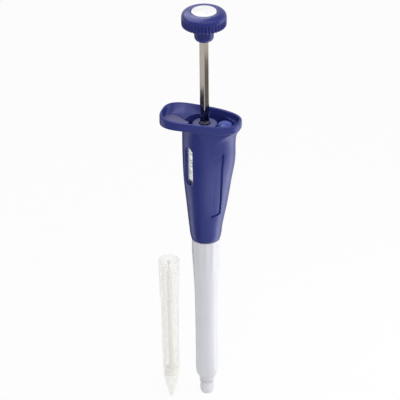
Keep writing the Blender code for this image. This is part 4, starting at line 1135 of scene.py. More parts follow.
@dataclass
class Tray(SubAssembly):
    """What lies in the tray: the finger pad, the boss that guides the rod, and the lock button."""

    pad_outline: tuple[Pair, ...] = (
        (-28.3, -3.4), (-28.0, -0.2), (-26.3, 2.8), (-23.4, 4.1), (-20.0, 3.0), (-16.8, 0.9),
        (-13.0, -2.3), (-9.8, -4.7), (-12.6, -8.4), (-17.0, -11.3), (-22.0, -11.4), (-26.4, -8.2),
    )
    # How far the dark seat is moved out from under the pad; its showing edge is painted shade of the gap
    # behind the pad.
    seat_shift: Pair = (0.1, 1.0)
    pad_centre: Pair = (-20.5, -3.8)
    pad_floor: float = 209.05
    pad_height: float = 0.95
    pad_crown: float = 0.45
    boss_radius: float = 8.2
    boss_top: float = 208.4
    boss_foot: float = 203.6
    spigot_radius: float = 5.8
    spigot_foot: float = 201.2
    rod_bore: float = 3.9
    button_x: float = 13.8
    button_radius: float = 5.3
    button_top: float = 210.4
    button_skirt: float = 202.2
    button_bore: float = 4.2
    button_foot: float = 5.08
    button_roof: float = 207.4

    def closed_curve(self, count: int) -> Array:
        """Carry a closed soft curve through the pad's outline points: cubic pieces, slopes from neighbours.

        Args:
            count: Points on the curve.

        Returns:
            Rows of x and y.
        """
        knots = np.array(self.pad_outline)
        total = len(knots)
        position = np.arange(count) / count * total
        index = position.astype(int)
        t = (position - index)[:, None]
        before, start = knots[(index - 1) % total], knots[index % total]
        end, after = knots[(index + 1) % total], knots[(index + 2) % total]
        square = 2 * before - 5 * start + 4 * end - after
        cube = 3 * start - before - 3 * end + after
        return 0.5 * (2 * start + (end - before) * t + square * t**2 + cube * t**3)

    def leaf(self, name: str, shift: Pair, height: float, crown: float) -> Mesh:
        """A leaf-shaped plate: its outline shrunk towards its centre, crowned as 1 less its share squared.

        Args:
            name: The mesh's name.
            shift: How far the whole outline is moved, in millimetres.
            height: Thickness at the plate's edge.
            crown: How much its middle is raised.

        Returns:
            The plate.
        """
        outline = self.closed_curve(120) + np.array(shift)
        share = np.array([1.0, 1.0, 0.992, 0.975, 0.95, 0.9, 0.8, 0.65, 0.5, 0.35, 0.2, 0.1, 0.0])
        edge = np.array([-0.05, 0.45, 0.62, 0.71, 0.75, 0.77, 0.8, 0.84, 0.88, 0.92, 0.95, 0.97, 0.98])
        lift = self.pad_floor + edge * height + crown * (1 - share**2)
        share = np.concatenate([[0.0], share])
        lift = np.concatenate([[self.pad_floor - 0.05 * height], lift])
        centre = np.array(self.pad_centre)
        flat = centre + share[:, None, None] * (outline - centre)[None, :, :]
        level = np.broadcast_to(lift[:, None, None], flat.shape[:2] + (1,))
        return self.skinned(name, np.concatenate([flat, level], axis=-1), along=False)

    def build_pad(self) -> None:
        """The finger pad on a darker seat, whose edge shows as a crescent behind it and is painted shade of
        the gap there.
        """
        pad = self.leaf("finger_pad", (0.0, 0.0), self.pad_height, self.pad_crown)
        self.show(pad, Body.HANDLE, "pad", "rest_pad")
        # The seat is a dark plate in the deck's finish: painted shade of the gap behind the pad.
        self.show(self.leaf("pad_shade_seat", self.seat_shift, self.pad_height - 0.25, 0.0), Body.HANDLE, "deck")

    def build_boss(self) -> None:
        """The guide boss: a turned disc with a stepped top edge and the rod's bore."""
        profile = rounded([
            (self.rod_bore, self.boss_top, 0.35), (self.boss_radius - 0.9, self.boss_top, 0.2),
            (self.boss_radius - 0.8, self.boss_top - 0.25, 0.1),
            (self.boss_radius, self.boss_top - 0.3, 0.3), (self.boss_radius, self.boss_foot, 0.1),
            (self.spigot_radius, self.boss_foot, 0.1),
            (self.spigot_radius, self.spigot_foot, 0.2), (self.rod_bore, self.spigot_foot, 0.2),
        ])
        self.show(self.turned("guide_boss", profile), Body.HANDLE, "boss", "rod_guide")

    def build_button(self) -> None:
        """The lock button: a domed cap over a short skirt."""
        profile = rounded([
            (0.0, self.button_top, 0.0), (2.6, self.button_top - 0.18, 1.2),
            (4.3, self.button_top - 0.8, 1.0), (self.button_radius, self.button_top - 2.1, 1.0),
            (self.button_radius, self.button_skirt + 2.2, 0.1),
            (self.button_foot, self.button_skirt + 2.0, 0.1),
            (self.button_foot, self.button_skirt, 0.2), (self.button_bore, self.button_skirt, 0.2),
            (self.button_bore, self.button_roof, 0.3),
            (0.0, self.button_roof, 0.0),
        ], closed=False)
        mesh = self.turned("button_dome", profile, (self.button_x, 0.0), columns=72, closed=False)
        self.show(mesh, Body.LOCK, "button", "lock_button")

    def build(self) -> None:
        """Build the tray's pieces."""
        self.build_pad()
        self.build_boss()
        self.build_button()


@dataclass
class Counter(SubAssembly):
    """The volume counter behind the window, with plain numbers and a row of ticks."""

    ring_radius: float = 11.0
    ring_bore: float = 7.8
    ring_nodes: tuple[tuple[str, Body], ...] = (
        ("ml_ring", Body.ML_COUNTER), ("tenths_ring", Body.COUNTER), ("tick_ring", Body.COUNTER)
    )
    facing: float = -129.5
    window_z: float = 179.8
    lens_radii: Pair = (12.45, 11.75)
    lens_half_width: float = 3.2
    lens_half_height: float = 13.7
    digit_height: float = 5.6
    ink_lift: float = 0.03
    ticks: int = 50
    tick_width: float = 0.35
    tick_lengths: Pair = (3.4, 5.2)
    tick_head: float = 4.0
    peg_radii: Triple = (1.0, 1.7, 1.9)
    peg_reach: float = 12.1
    peg_drop: float = 12.6

    def bend(self, flat: Array, middle: float, facing: float) -> Array:
        """Wrap flat marks round a ring: distance across becomes an angle, distance out a radius.

        Args:
            flat: Points across, up and out of the ring's face, in millimetres.
            middle: Height of the marks' middle.
            facing: Direction of the marks' middle, in degrees.

        Returns:
            The wrapped points, in millimetres.
        """
        angle = math.radians(facing) + flat[..., 0] / self.ring_radius
        radius = self.ring_radius + flat[..., 2]
        return around_axis(radius, angle, middle + flat[..., 1])

    def numeral(self, digit: int) -> tuple[Array, list[list[int]]]:
        """Shape one numeral as a thin solid, centred on its own middle.

        Args:
            digit: The number from 0 to 9.

        Returns:
            Its points across, up and out in millimetres, and its faces.
        """
        curve = bpy.data.curves.new("numeral", "FONT")
        curve.body = str(digit)
        curve.resolution_u = 3
        curve.extrude = 0.5
        thing = placed("numeral", curve)
        bpy.context.view_layer.update()
        mesh = bpy.data.meshes.new_from_object(thing.evaluated_get(bpy.context.evaluated_depsgraph_get()))
        flat = np.zeros(len(mesh.vertices) * 3, np.float32)
        mesh.vertices.foreach_get("co", flat)
        flat = flat.reshape(-1, 3).astype(float)
        faces = [list(face.vertices) for face in mesh.polygons]
        bpy.data.objects.remove(thing)
        bpy.data.curves.remove(curve)
        bpy.data.meshes.remove(mesh)
        low, high = flat.min(0), flat.max(0)
        flat[:, :2] = (flat[:, :2] - (low + high)[:2] / 2) * self.digit_height / (high[1] - low[1])
        flat[:, 2] = np.sign(flat[:, 2]) * self.ink_lift
        return flat, faces

    def build_numbers(self, node: str, body: Body, middle: float) -> None:
        """Put the numbers 0 to 9 round a ring, the fifth of them in the window.

        Args:
            node: The ring that carries them.
            body: The body that they ride on.
            middle: Height of the ring's middle.
        """
        points, faces, count = [], [], 0
        for digit in range(10):
            flat, shape = self.numeral(digit)
            points.append(self.bend(flat, middle, self.facing + 36.0 * (digit - 5)))
            faces += [[corner + count for corner in face] for face in shape]
            count += len(flat)
        mesh = bpy.data.meshes.new(f"{node}_numbers")
        mesh.from_pydata(self.datum.place(np.vstack(points)).tolist(), [], faces)
        tidy(mesh)
        self.show(mesh, body, "ink")

    def build_ticks(self, body: Body, middle: float) -> None:
        """Put a row of ticks round the last ring, every fifth of them longer.

        Args:
            body: The body that they ride on.
            middle: Height of the ring's middle.
        """
        square = [(-1, -1), (1, -1), (1, 1), (-1, 1)]
        corner = np.array([(x, y, z) for z in (-1, 1) for x, y in square], float)
        which = np.arange(self.ticks)
        length = np.where(which % 5 == 0, self.tick_lengths[1], self.tick_lengths[0])
        pitch = FULL_TURN * self.ring_radius / self.ticks
        flat = np.zeros((self.ticks, 8, 3))
        flat[..., 0] = corner[:, 0] * self.tick_width / 2 + which[:, None] * pitch
        flat[..., 1] = corner[:, 1] * length[:, None] / 2 + self.tick_head - length[:, None] / 2
        flat[..., 2] = corner[:, 2] * self.ink_lift
        ends = [(0, 3, 2, 1), (4, 5, 6, 7)]
        side = np.array(ends + [(n, (n + 1) % 4, (n + 1) % 4 + 4, n + 4) for n in range(4)])
        faces = (side[None, :, :] + 8 * which[:, None, None]).reshape(-1, 4)
        points = self.datum.place(self.bend(flat, middle, self.facing).reshape(-1, 3))
        mesh = bpy.data.meshes.new("tick_ring_marks")
        mesh.from_pydata(points.tolist(), [], faces.tolist())
        tidy(mesh)
        self.show(mesh, body, "ink")

    def build_lens(self) -> None:
        """The curved window: a slot outline wrapped round the axis, outer face first, then inner face.

        Each row is as wide as the slot at its height: full between the round ends, and the
        chord of the end's circle beyond them. The first and last rows shrink to a point.
        """
        turn = np.linspace(-math.pi / 2, math.pi / 2, 15)
        straight = self.lens_half_height - self.lens_half_width
        foot = -straight + self.lens_half_width * np.sin(turn[turn <= 0.0])
        head = straight + self.lens_half_width * np.sin(turn[turn >= 0.0])
        level = np.concatenate([foot, np.linspace(-straight, straight, 20)[1:-1], head])
        over = np.maximum(np.abs(level) - straight, 0.0)
        half = np.sqrt(np.maximum(self.lens_half_width**2 - over**2, 0.0))
        across = np.linspace(-1.0, 1.0, 12)
        outer, inner = self.lens_radii
        side = np.concatenate([across, across[::-1]])
        reach = np.repeat([outer, inner], len(across))[None, :] * np.ones((len(level), 1))
        reach[[0, -1]] = (outer + inner) / 2
        angle = math.radians(self.facing) + half[:, None] * side[None, :] / outer
        points = around_axis(reach, angle, self.window_z + level[:, None])
        lens = self.skinned("curved_window", points, along=False)
        self.show(lens, Body.HANDLE, "window", "window_lens")

    def build_peg(self) -> None:
        """A dark ellipsoid at the window's foot, half sunk under the window."""
        rise = np.linspace(-math.pi / 2, math.pi / 2, 17)
        turn = columns_round(32)
        out, side, up = self.peg_radii
        facing = math.radians(self.facing)
        away = self.peg_reach + out * np.cos(rise)[:, None] * np.cos(turn)[None, :]
        aside = side * np.cos(rise)[:, None] * np.sin(turn)[None, :]
        x = away * math.cos(facing) - aside * math.sin(facing)
        y = away * math.sin(facing) + aside * math.cos(facing)
        z = np.broadcast_to(self.window_z - self.peg_drop + up * np.sin(rise)[:, None], x.shape)
        points = np.stack([x, y, z], axis=-1)
        peg = self.skinned("dark_window_peg", points, along=False)
        self.show(peg, Body.HANDLE, "deck")

    def build(self) -> None:
        """Build each ring with its marks, the window and the dark peg at the window's foot."""
        for node, body in self.ring_nodes:
            low, high = self.datum.height(node)
            profile = rounded([
                (self.ring_radius, high, 0.3), (self.ring_radius, low, 0.3), (self.ring_bore, low, 0.2),
                (self.ring_bore, high, 0.2),
            ])
            # The bands' finish glows: painted light against the shade of the window slot.
            self.show(self.turned(f"{node}_band", profile, columns=120), body, "counter", node)
            if node == "tick_ring":
                self.build_ticks(body, (low + high) / 2)
            else:
                self.build_numbers(node, body, (low + high) / 2)
        self.build_lens()
        self.build_peg()


@dataclass
class Knob(SubAssembly):
    """The knob with its fluted skirt, its white cap, its neck and the hexagonal rod."""

    radius: float = 15.0
    top: float = 290.6
    cap_radius: float = 8.4
    cap_thickness: float = 1.4
    skirt_foot: float = 280.2
    flute_top: float = 285.9
    flutes: int = 40
    flute_depth: float = 0.8
    fullness: float = 0.9
    neck_radius: float = 6.5
    neck_foot: float = 269.1
    neck_bowl: float = 3.3
    rod_flats: float = 6.2
    rod_turn: float = 13.0
    rod_edge: float = 0.28
    rod_columns: int = 120

    def skirt_radius(self, angle: Array, radius: Array, depth: Array) -> Array:
        """Flute a row: ribs and valleys that follow a raised cosine.

        Args:
            angle: Directions of the columns.
            radius: Plain radius of each row.
            depth: Depth of the flutes in each row.

        Returns:
            Rows by columns of radii.
        """
        wave = 0.5 - 0.5 * np.cos(self.flutes * angle)
        return radius[:, None] - depth[:, None] * (1 - wave)[None, :]

    def build_dome(self) -> None:
        """The knob's shell: a domed shoulder over a fluted skirt, hollow below."""
        rim = self.top - 0.5
        well = rim - self.cap_thickness
        roof = well - 2.0
        shoulder = self.flute_top + 0.4
        top = rim + 0.2
        turn = np.linspace(0.0, math.pi / 2, 22)
        bore = self.cap_radius + 0.3
        start = bore + 0.7
        dome_radius = start + (self.radius - 0.1 - start) * np.sin(turn) ** self.fullness
        dome_rise = (top - shoulder) * np.maximum(np.cos(turn), 0.0) ** self.fullness
        dome = np.stack([dome_radius, shoulder + dome_rise], axis=-1)
        lip = rounded([(bore, well, 0.05), (bore, top - 0.1, 0.3), (start, top, 0.3)], closed=False)
        out = self.radius
        skirt = np.array([
            (out - 0.05, shoulder - 0.1, 0.0),
            (out + 0.05, shoulder - 0.25, 0.15),
            (out + 0.02, self.flute_top - 0.1, 0.5),
            (out, self.flute_top - 0.4, 0.85),
            (out - 0.05, self.flute_top - 0.8, 1.0),
            (out - 0.1, self.flute_top - 2.2, 1.0),
            (out - 0.15, self.skirt_foot + 0.7, 1.0),
            (out - 0.25, self.skirt_foot + 0.3, 0.9),
            (out - 0.5, self.skirt_foot + 0.08, 0.6),
            (out - 0.9, self.skirt_foot, 0.2),
        ])
        inner = self.radius - 3.0
        inside = rounded([
            (self.radius - 2.0, self.skirt_foot, 0.1), (inner, self.skirt_foot + 0.2, 0.2),
            (inner, roof, 0.8), (self.neck_radius + 0.3, roof, 0.1),
            (self.neck_radius + 0.3, well, 0.1),
        ], closed=False)
        plain = np.vstack([lip, dome, skirt[:, :2], inside])
        before, after = np.zeros(len(lip) + len(dome)), np.zeros(len(inside))
        depth = np.concatenate([before, skirt[:, 2] * self.flute_depth, after])
        angle = columns_round(self.flutes * 10)
        radius = self.skirt_radius(angle, plain[:, 0], depth)
        points = around_axis(radius, angle, plain[:, 1:2])
        self.show(self.skinned("knob_dome", points), Body.PLUNGER, "knob", "knob_shell")

    def build_cap(self) -> None:
        """The white cap: a shallow dish with a rolled rim, set in the knob's top."""
        foot = self.top - 0.5 - self.cap_thickness + 0.3
        profile = rounded([
            (0.0, self.top + 0.15, 0.0),
            (self.cap_radius - 1.4, self.top + 0.1, 1.0),
            (self.cap_radius - 0.4, self.top - 0.05, 0.4),
            (self.cap_radius, self.top - 0.4, 0.3),
            (self.cap_radius, foot, 0.1), (0.0, foot, 0.0),
        ], closed=False)
        self.show(self.turned("knob_disc", profile, closed=False), Body.PLUNGER, "cap", "knob_cap")

    def hexagon(self, angle: Array, flats: float, edge: float) -> Array:
        """Radius of a hexagon with softened corners: a smooth least of its six flats.

        Args:
            angle: Directions of the columns.
            flats: Width across the flats.
            edge: How far the corners are softened.

        Returns:
            One radius for each direction.
        """
        facing = np.radians(self.rod_turn + 60.0 * np.arange(6))
        reach = np.cos(angle[:, None] - facing[None, :]) / (flats / 2)
        power = 6.0 / max(edge, 0.02)
        largest = np.maximum(reach, 1e-6)
        return 1.0 / np.sum(largest**power, axis=1) ** (1 / power)

    def build_neck(self) -> None:
        """The round neck under the knob, with a bowl-shaped foot and the rod's hexagonal hole."""
        top = self.top - 0.5 - self.cap_thickness - 0.3
        turn = np.linspace(0.0, math.radians(82.0), 14)
        lip = 3.95
        bowl_radius = lip - 0.3 + (self.neck_radius - lip + 0.3) * np.cos(turn)
        bowl = np.stack([bowl_radius, self.neck_foot + self.neck_bowl * (1 - np.sin(turn))], axis=-1)
        head = [(3.9, top), (self.neck_radius - 0.1, top), (self.neck_radius, top - 0.1)]
        outer = np.vstack([head, bowl])
        angle = columns_round(self.rod_columns)
        hole = self.hexagon(angle, self.rod_flats + 0.6, self.rod_edge)
        round_part = np.broadcast_to(outer[:, :1], (len(outer), self.rod_columns))
        radius = np.vstack([round_part, hole, hole, np.full(self.rod_columns, 4.0)])
        height = np.concatenate([outer[:, 1], [self.neck_foot + 0.05, self.top - 5.1, self.top - 5.1]])
        points = around_axis(radius, angle, height[:, None])
        self.show(self.skinned("knob_neck", points), Body.PLUNGER, "knob", "knob_collar")

    def build_rod(self) -> None:
        """The push rod: a drawn hexagon with softened corners, and a round tenon at its foot."""
        low, high = self.datum.height("push_rod")
        angle = columns_round(self.rod_columns)
        shape = self.hexagon(angle, self.rod_flats, self.rod_edge)
        shoulder = low + 7.0
        shank = np.linspace(high - 5.0, shoulder + 0.3, 24)
        level = np.concatenate([[high, high, high - 0.3], shank, [shoulder, shoulder, low, low]])
        scale = np.ones(len(level))
        scale[[0, 1]] = [0.0, 0.93]
        scale[-4] = 0.93
        radius = scale[:, None] * shape[None, :]
        radius[-3:] = np.array([1.5, 1.5, 0.0])[:, None]
        points = around_axis(radius, angle, level[:, None])
        self.show(self.skinned("hexagonal_rod", points, along=False), Body.PLUNGER, "rod", "push_rod")

    def build(self) -> None:
        """Build the knob, its cap, its neck and the rod."""
        self.build_dome()
        self.build_cap()
        self.build_neck()
        self.build_rod()


@dataclass
class Barrel(SubAssembly):
    """The white barrel with its shallow flutes, and the nose that the tip fits on."""

    sections: tuple[Pair, ...] = (
        (12.2, 5.35), (13.6, 5.5), (14.4, 6.3), (15.4, 6.95), (17.0, 7.2), (31.0, 7.4), (60.0, 7.6),
        (82.0, 7.9), (96.0, 8.6), (113.0, 9.5), (121.3, 9.5),
    )
    flutes: int = 12
    flute_depth: float = 0.36
    ridge: float = -74.0
    flute_foot: float = 88.0
    flute_head: float = 112.0
    spigot_radius: float = 7.7
    spigot_top: float = 132.6
    bore: float = 6.5
    lower_bore: float = 5.0
    bore_step: float = 38.0

    def build_tube(self) -> None:
        """The barrel: radius follows its sections, less hollow flutes that fade out downwards.

        A flute is the size of a sine of half its count of turns, so its ridges are sharp.
        """
        angle = columns_round(self.flutes * 12)
        table = np.array(self.sections)
        level = np.concatenate([np.linspace(12.2, 17.0, 17), np.linspace(18.0, 121.3, 110)])
        plain = smooth_through(level, table[:, 0], table[:, 1])
        fade = smooth_step(level, self.flute_foot, self.flute_head) * (1 - smooth_step(level, 119.0, 121.3))
        wave = np.abs(np.sin(self.flutes * (angle - math.radians(self.ridge)) / 2))
        outer = plain[:, None] - self.flute_depth * fade[:, None] * wave[None, :]
        inner = rounded([
            (self.spigot_radius, 121.3, 0.1), (self.spigot_radius, self.spigot_top, 0.4),
            (self.bore, self.spigot_top, 0.3), (self.bore, self.bore_step, 0.2),
            (self.lower_bore, self.bore_step, 0.1), (self.lower_bore, 12.2, 0.2),
        ], closed=False)
        radius = np.vstack([outer, np.broadcast_to(inner[:, :1], (len(inner), len(angle)))])
        height = np.concatenate([level, inner[:, 1]])
        points = around_axis(radius, angle, height[:, None])
        self.show(self.skinned("barrel_tube", points), Body.HANDLE, "barrel", "barrel")

    def build_nose(self) -> None:
        """The nose and its seal, turned from rounded profiles."""
        profile = rounded([
            (4.7, 26.2, 0.3), (4.7, 12.6, 0.1), (5.05, 12.6, 0.15), (5.05, 10.5, 0.15), (4.4, 10.5, 0.05),
            (4.4, 8.7, 0.05), (4.85, 8.7, 0.15), (4.6, 8.0, 0.5), (4.6, 5.6, 1.2), (4.85, 3.8, 1.2),
            (4.45, 1.3, 1.6), (3.75, 0.0, 0.6), (3.4, 0.0, 0.1), (3.4, 26.2, 0.3),
        ])
        self.show(self.turned("nose_end", profile), Body.HANDLE, "nose", "nose_cone")
        ring = rounded([(4.98, 10.2, 0.5), (4.98, 9.0, 0.5), (4.5, 9.0, 0.1), (4.5, 10.2, 0.1)])
        self.show(self.turned("nose_ring", ring), Body.HANDLE, "seal", "nose_seal")

    def build(self) -> None:
        """Build the barrel and the nose."""
        self.build_tube()
        self.build_nose()


@dataclass
class Tip(SubAssembly):
    """The clear tip with its own piston and rod, standing beside the pipette."""

    centre: Pair = (-21.9, -12.5)
    lean: float = 0.0062
    length: float = 107.9
    mouth_radius: float = 7.25
    collar_radius: float = 6.4
    collar_foot: float = 79.0
    body_top: float = 6.02
    body_foot: float = 5.6
    cone: float = 17.5
    bore: float = 5.15
    mouth_bore: float = 6.05
    mouth_floor: float = 99.6
    piston_foot: float = 17.8
    piston_top: float = 23.0
    piston_radius: float = 4.75
    stem_radius: float = 1.6
    neck_radius: float = 0.75
    neck_foot: float = 99.6
    stem_top: float = 107.0

    def leaned(self, mesh: Mesh) -> Mesh:
        """Lean a piece a little to the left: each point moves by lean times its height.

        Args:
            mesh: The upright piece.

        Returns:
            The same mesh.
        """
        flat = np.empty(len(mesh.vertices) * 3)
        mesh.vertices.foreach_get("co", flat)
        points = flat.reshape(-1, 3)
        points[:, 0] -= self.lean * (points[:, 2] - self.datum.foot_z)
        mesh.vertices.foreach_set("co", points.ravel())
        mesh.update()
        return mesh

    def build_tube(self) -> None:
        """The tip's wall: lip, tapered collar, long body and cone, with two lands in the mouth."""
        profile = rounded([
            (self.mouth_radius, self.length, 0.4), (self.mouth_radius, self.length - 1.4, 0.3),
            (self.mouth_radius - 0.2, self.length - 1.7, 0.2),
            (self.collar_radius, self.collar_foot + 0.4, 0.2), (self.body_top, self.collar_foot, 0.2),
            (self.body_foot, self.cone, 0.9), (1.0, 0.1, 0.3),
            (0.45, 0.0, 0.1), (0.5, 3.0, 1.0), (3.95, self.cone - 1.6, 0.6), (self.bore, self.cone, 0.6),
            (self.bore, 94.2, 0.2), (4.95, 94.8, 0.2), (4.95, 96.0, 0.2),
            (self.bore, 96.4, 0.2), (self.bore, 98.0, 0.2), (4.95, 98.4, 0.2),
            (4.95, self.mouth_floor, 0.3), (self.mouth_bore, self.mouth_floor + 1.0, 0.5),
            (self.mouth_bore, self.length, 0.3),
        ])
        self.show(self.leaned(self.turned("tip_tube", profile, self.centre)), Body.TIP, "tip", "tip_barrel")

    def build_stem(self) -> None:
        """The tip's rod, with the neck and head that the collet grips."""
        profile = rounded([
            (0.0, self.stem_top, 0.0), (1.3, self.stem_top, 0.5), (1.3, self.stem_top - 1.4, 0.3),
            (self.neck_radius, self.stem_top - 1.7, 0.2),
            (self.neck_radius, self.neck_foot + 0.8, 0.3), (self.stem_radius, self.neck_foot, 0.4),
            (self.stem_radius, self.piston_foot + 1.9, 0.2),
            (0.0, self.piston_foot + 1.9, 0.0),
        ], closed=False)
        mesh = self.turned("tip_stem", profile, self.centre, columns=48, closed=False)
        self.show(self.leaned(mesh), Body.TIP_PLUNGER, "tip_stem", "tip_rod")

    def build_piston(self) -> None:
        """The tip's piston, with its sealing lips."""
        high, low, out = self.piston_top, self.piston_foot, self.piston_radius
        profile = rounded([
            (0.0, low + 1.6, 0.0), (1.9, low + 1.6, 0.1), (1.9, high, 0.2), (out - 0.5, high, 0.4),
            (out, high - 0.8, 0.4), (out - 0.35, high - 1.7, 0.4),
            (out - 0.35, low + 2.4, 0.4), (out, low + 1.4, 0.5), (out - 1.0, low, 0.5), (0.0, low, 0.0),
        ], closed=False)
        mesh = self.turned("tip_plug", profile, self.centre, columns=72, closed=False)
        self.show(self.leaned(mesh), Body.TIP_PLUNGER, "tip_seal", "tip_piston")

    def build(self) -> None:
        """Build the tip, its rod and its piston."""
        self.build_tube()
        self.build_stem()
        self.build_piston()


@dataclass
class Works:
    """The pieces inside, whose CAD shapes stay and get a finish each."""

    palette: Palette
    groups: dict[str, tuple[str, ...]] = field(default_factory=lambda: {
        "brass": ("setting_nut", "thrust_washer"),
        "alloy": ("core_frame",),
        "polymer": ("drive_sleeve", "carry_pinion", "barrel_union", "spring_seat", "rod_bush"),
        "seal": ("collet_ring",),
        "deck": ("tray_deck",),
        "rod": ("piston_rod",),
        "steel": (
            "pinion_shaft", "frame_screw_front", "frame_screw_back", "stop_sleeve", "main_spring",
            "setting_screw", "knob_screw", "stop_collar", "stop_screw", "rod_coupler", "tip_collet",
            "ring_clip", "lock_pawl", "lock_spring",
        ),
    })

    def dress(self) -> None:
        """Give each kept node the finish of its group."""
        for group, names in self.groups.items():
            finish = self.palette[group]
            for name in names:
                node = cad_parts[name]
                node.data.materials.clear()
                node.data.materials.append(finish)
                LOG.info("%s keeps its shape in %s", name, finish.name)


@dataclass
class Studio:
    """Floor, soft lights and the camera at the photograph's angle."""

    datum: Datum
    azimuth: float = 15.0
    elevation: float = 28.75
    roll: float = 0.55
    distance: float = 2345.0
    lens: float = 315.0
    target_z: float = 150.0
    off_centre: float = 3.685
    floor_half: float = 3.0
    floor_tone: Pair = (0.89, 0.91)
    seen_share: float = 0.93
    world_light: float = 0.55

    def camera(self) -> None:
        """Aim the camera from its azimuth and elevation, rolled a little, and use it."""
        azimuth, elevation, roll = map(math.radians, (self.azimuth, self.elevation, self.roll))
        level = math.cos(elevation)
        back = Vector((math.sin(azimuth) * level, -math.cos(azimuth) * level, math.sin(elevation)))
        right = Vector((math.cos(azimuth), math.sin(azimuth), 0.0))
        up = back.cross(right)
        side = right * math.cos(roll) - up * math.sin(roll)
        rise = right * math.sin(roll) + up * math.cos(roll)
        target = Vector(self.datum.place(np.array([0.0, 0.0, self.target_z])))
        data = bpy.data.cameras.new("camera")
        data.lens = self.lens
        data.sensor_width = 36.0
        data.clip_start, data.clip_end = 0.05, 50.0
        camera = placed("camera", data)
        turn = Matrix((side, rise, back)).transposed().to_4x4()
        place = target + back * self.distance * MM - side * self.off_centre * MM
        camera.matrix_world = Matrix.Translation(place) @ turn
        bpy.context.scene.camera = camera

    def seen_white(self, tree: NodeTree) -> Socket:
        """Make a mask of the rays that see the background: from the camera, or by gloss or clear plastic.

        Args:
            tree: Where the mask is made.

        Returns:
            The mask, 1 for those rays.
        """
        path = tree.add("ShaderNodeLightPath")
        total = tree.math("ADD", path.outputs["Is Camera Ray"], path.outputs["Is Glossy Ray"])
        return tree.math("MINIMUM", tree.math("ADD", total, path.outputs["Is Transmission Ray"]), 1.0)

    def floor(self) -> None:
        """A plain floor, white where it is seen, that keeps a trace of the object's shadow."""
        half = self.floor_half
        points = np.array([(-half, -half, 0.0), (half, -half, 0.0), (-half, half, 0.0), (half, half, 0.0)])
        points += self.datum.origin - np.array([0.0, 0.0, 0.02 * MM])
        mesh = bpy.data.meshes.new("floor")
        mesh.from_pydata(points.tolist(), [], [(0, 1, 3, 2)])
        material = bpy.data.materials.new("floor white")
        material.use_nodes = True
        tree = NodeTree(material.node_tree)
        shader = material.node_tree.nodes["Principled BSDF"]
        texture = tree.noise(tree.add("ShaderNodeTexCoord").outputs["Object"], 3.0, 2.0)
        tone = tree.remap(texture, 0.3, 0.7, *self.floor_tone)
        tree.fill(shader, {"Base Color": tone, "Roughness": 0.9, "Specular IOR Level": 0.1})
        glow = tree.add("ShaderNodeEmission", {"Strength": 1.0}).outputs[0]
        faint = tree.math("MULTIPLY", self.seen_white(tree), self.seen_share)
        mix = tree.add("ShaderNodeMixShader", {"Fac": faint, 1: shader.outputs[0], 2: glow})
        tree.fill(material.node_tree.nodes["Material Output"], {"Surface": mix.outputs[0]})
        mesh.materials.append(material)
        floor = placed("floor", mesh)

    def world(self) -> None:
        """An even pale world that lights softly and is seen as white."""
        world = bpy.data.worlds.new("studio")
        world.use_nodes = True
        bpy.context.scene.world = world
        tree = NodeTree(world.node_tree)
        strength = tree.remap(self.seen_white(tree), 0.0, 1.0, self.world_light, 1.0)
        back = world.node_tree.nodes["Background"]
        tree.fill(back, {"Color": (1.0, 1.0, 1.0, 1.0), "Strength": strength})

    def lamp(self, name: str, place: Vector, away: Vector, size: Pair, level: float) -> None:
        """Hang a soft light that the camera doesn't see.

        Args:
            name: The light's name.
            place: Where it hangs, in metres from the nose end.
            away: Direction to it from what it lights.
            size: Its width and height in metres.
            level: Brightness of its face, where 1 is white.
        """
        data = bpy.data.lights.new(name, "AREA")
        data.shape = "RECTANGLE"
        data.size, data.size_y = size
        data.energy = level * math.pi * size[0] * size[1]
        light = placed(name, data)
        light.location = Vector(self.datum.origin) + place
        light.rotation_euler = away.to_track_quat("Z", "Y").to_euler()
        light.visible_camera = False

    def card(
        self, name: str, azimuth: float, spread_by: float, near: float, far: float, high: float,
        tone: Colour, level: float = 1.0
    ) -> None:
        """Lean a plain card round the object that is only seen in glossy surfaces.

        Its near edge lies on the floor and its far edge stands higher, so that the sides of
        the object, which mirror what lies below the camera's height, see it all the way down.

        Args:
            name: The card's name.
            azimuth: Where it stands, in degrees from the right of the object.
            spread_by: Half the angle that it covers, in degrees.
            near: Distance of its near edge from the axis in metres.
            far: Distance of its far edge from the axis in metres.
            high: Height of its far edge above the nose end in metres.
            tone: Its colour as it is seen.
            level: Its brightness, where 1 is the tone itself.
        """
        turns = [math.radians(azimuth + side * spread_by) for side in (-1, 1, 1, -1)]
        places = zip(turns, (near, near, far, far), (0.001, 0.001, high, high))
        corners = [(math.cos(turn) * out, math.sin(turn) * out, rise) for turn, out, rise in places]
        self.mirrored(name, corners, tone, level)

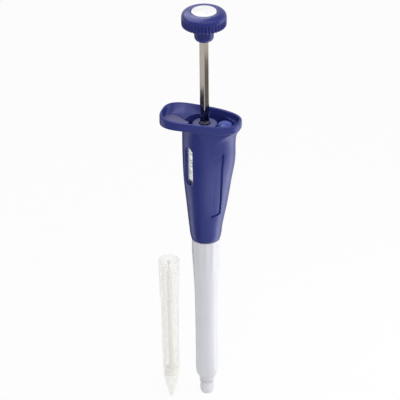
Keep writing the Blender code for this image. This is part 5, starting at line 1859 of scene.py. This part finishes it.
    def mirrored(self, name: str, corners: list[Triple], tone: Colour, level: float) -> None:
        """Make a flat card that is only seen in glossy surfaces.

        Args:
            name: The card's name.
            corners: Its corners in metres from the nose end.
            tone: Its colour as it is seen.
            level: Its brightness, where 1 is the tone itself.
        """
        mesh = bpy.data.meshes.new(name)
        mesh.from_pydata((self.datum.origin + np.array(corners)).tolist(), [], [(0, 1, 2, 3)])
        material = bpy.data.materials.new(name)
        material.use_nodes = True
        tree = NodeTree(material.node_tree)
        glow = tree.add("ShaderNodeEmission", {"Color": linear(tone), "Strength": level})
        tree.fill(material.node_tree.nodes["Material Output"], {"Surface": glow.outputs[0]})
        mesh.materials.append(material)
        card = placed(name, mesh)
        card.visible_camera = card.visible_diffuse = False
        card.visible_transmission = card.visible_shadow = False

    def build(self) -> None:
        """Set the camera, the floor, the world and the lights."""
        scene = bpy.context.scene
        scene.view_settings.view_transform = "Standard"
        self.camera()
        self.floor()
        self.world()
        turn = math.radians(20.0)
        beside = Vector((math.cos(turn), math.sin(turn), 0.0))
        self.lamp("right_panel", beside * 0.30 + Vector((0.0, 0.0, 0.21)), beside, (0.24, 0.42), 1.6)
        self.lamp("top_light", Vector((0.35, -0.30, 1.0)), Vector((0.35, -0.30, 0.8)), (0.7, 0.7), 2.3)
        self.card("rod_right_card", -19.0, 16.0, 0.30, 0.31, 0.112, (136, 134, 133))
        self.card("left_card", -138.0, 23.0, 0.05, 0.20, 0.142, (40, 36, 70))
        self.card("left_glow", 187.0, 13.0, 0.04, 0.14, 0.15, (255, 255, 255), 2.2)
        self.card("back_card", 130.0, 28.0, 0.03, 0.20, 0.20, (50, 48, 60))
        self.card("right_glow", 14.0, 22.0, 0.035, 0.14, 0.15, (255, 255, 255), 4.6)
        flare = [(0.0, -0.050, 0.120), (0.049, -0.010, 0.120), (0.069, -0.014, 0.165), (0.0, -0.070, 0.165)]
        self.mirrored("flare_glow", flare, (255, 255, 255), 2.6)
        scoop = [(-0.075, -0.045, 0.325), (0.0, -0.045, 0.325), (0.0, 0.055, 0.325), (-0.075, 0.055, 0.325)]
        self.mirrored("scoop_glow", scoop, (255, 255, 255), 6.0)


def main() -> None:
    """Build every sub-assembly in order and set the studio."""
    logging.basicConfig(level=logging.INFO, format="%(name)s %(message)s")
    datum = Datum.from_frame()
    palette = mixed_palette()
    for part in (
        HandleMoulding(datum, palette),
        Tray(datum, palette),
        Counter(datum, palette),
        Knob(datum, palette),
        Barrel(datum, palette),
        Tip(datum, palette),
    ):
        LOG.info("building %s", type(part).__name__)
        part.build()
    Works(palette).dress()
    Studio(datum).build()


if __name__ == "__main__":
    main()
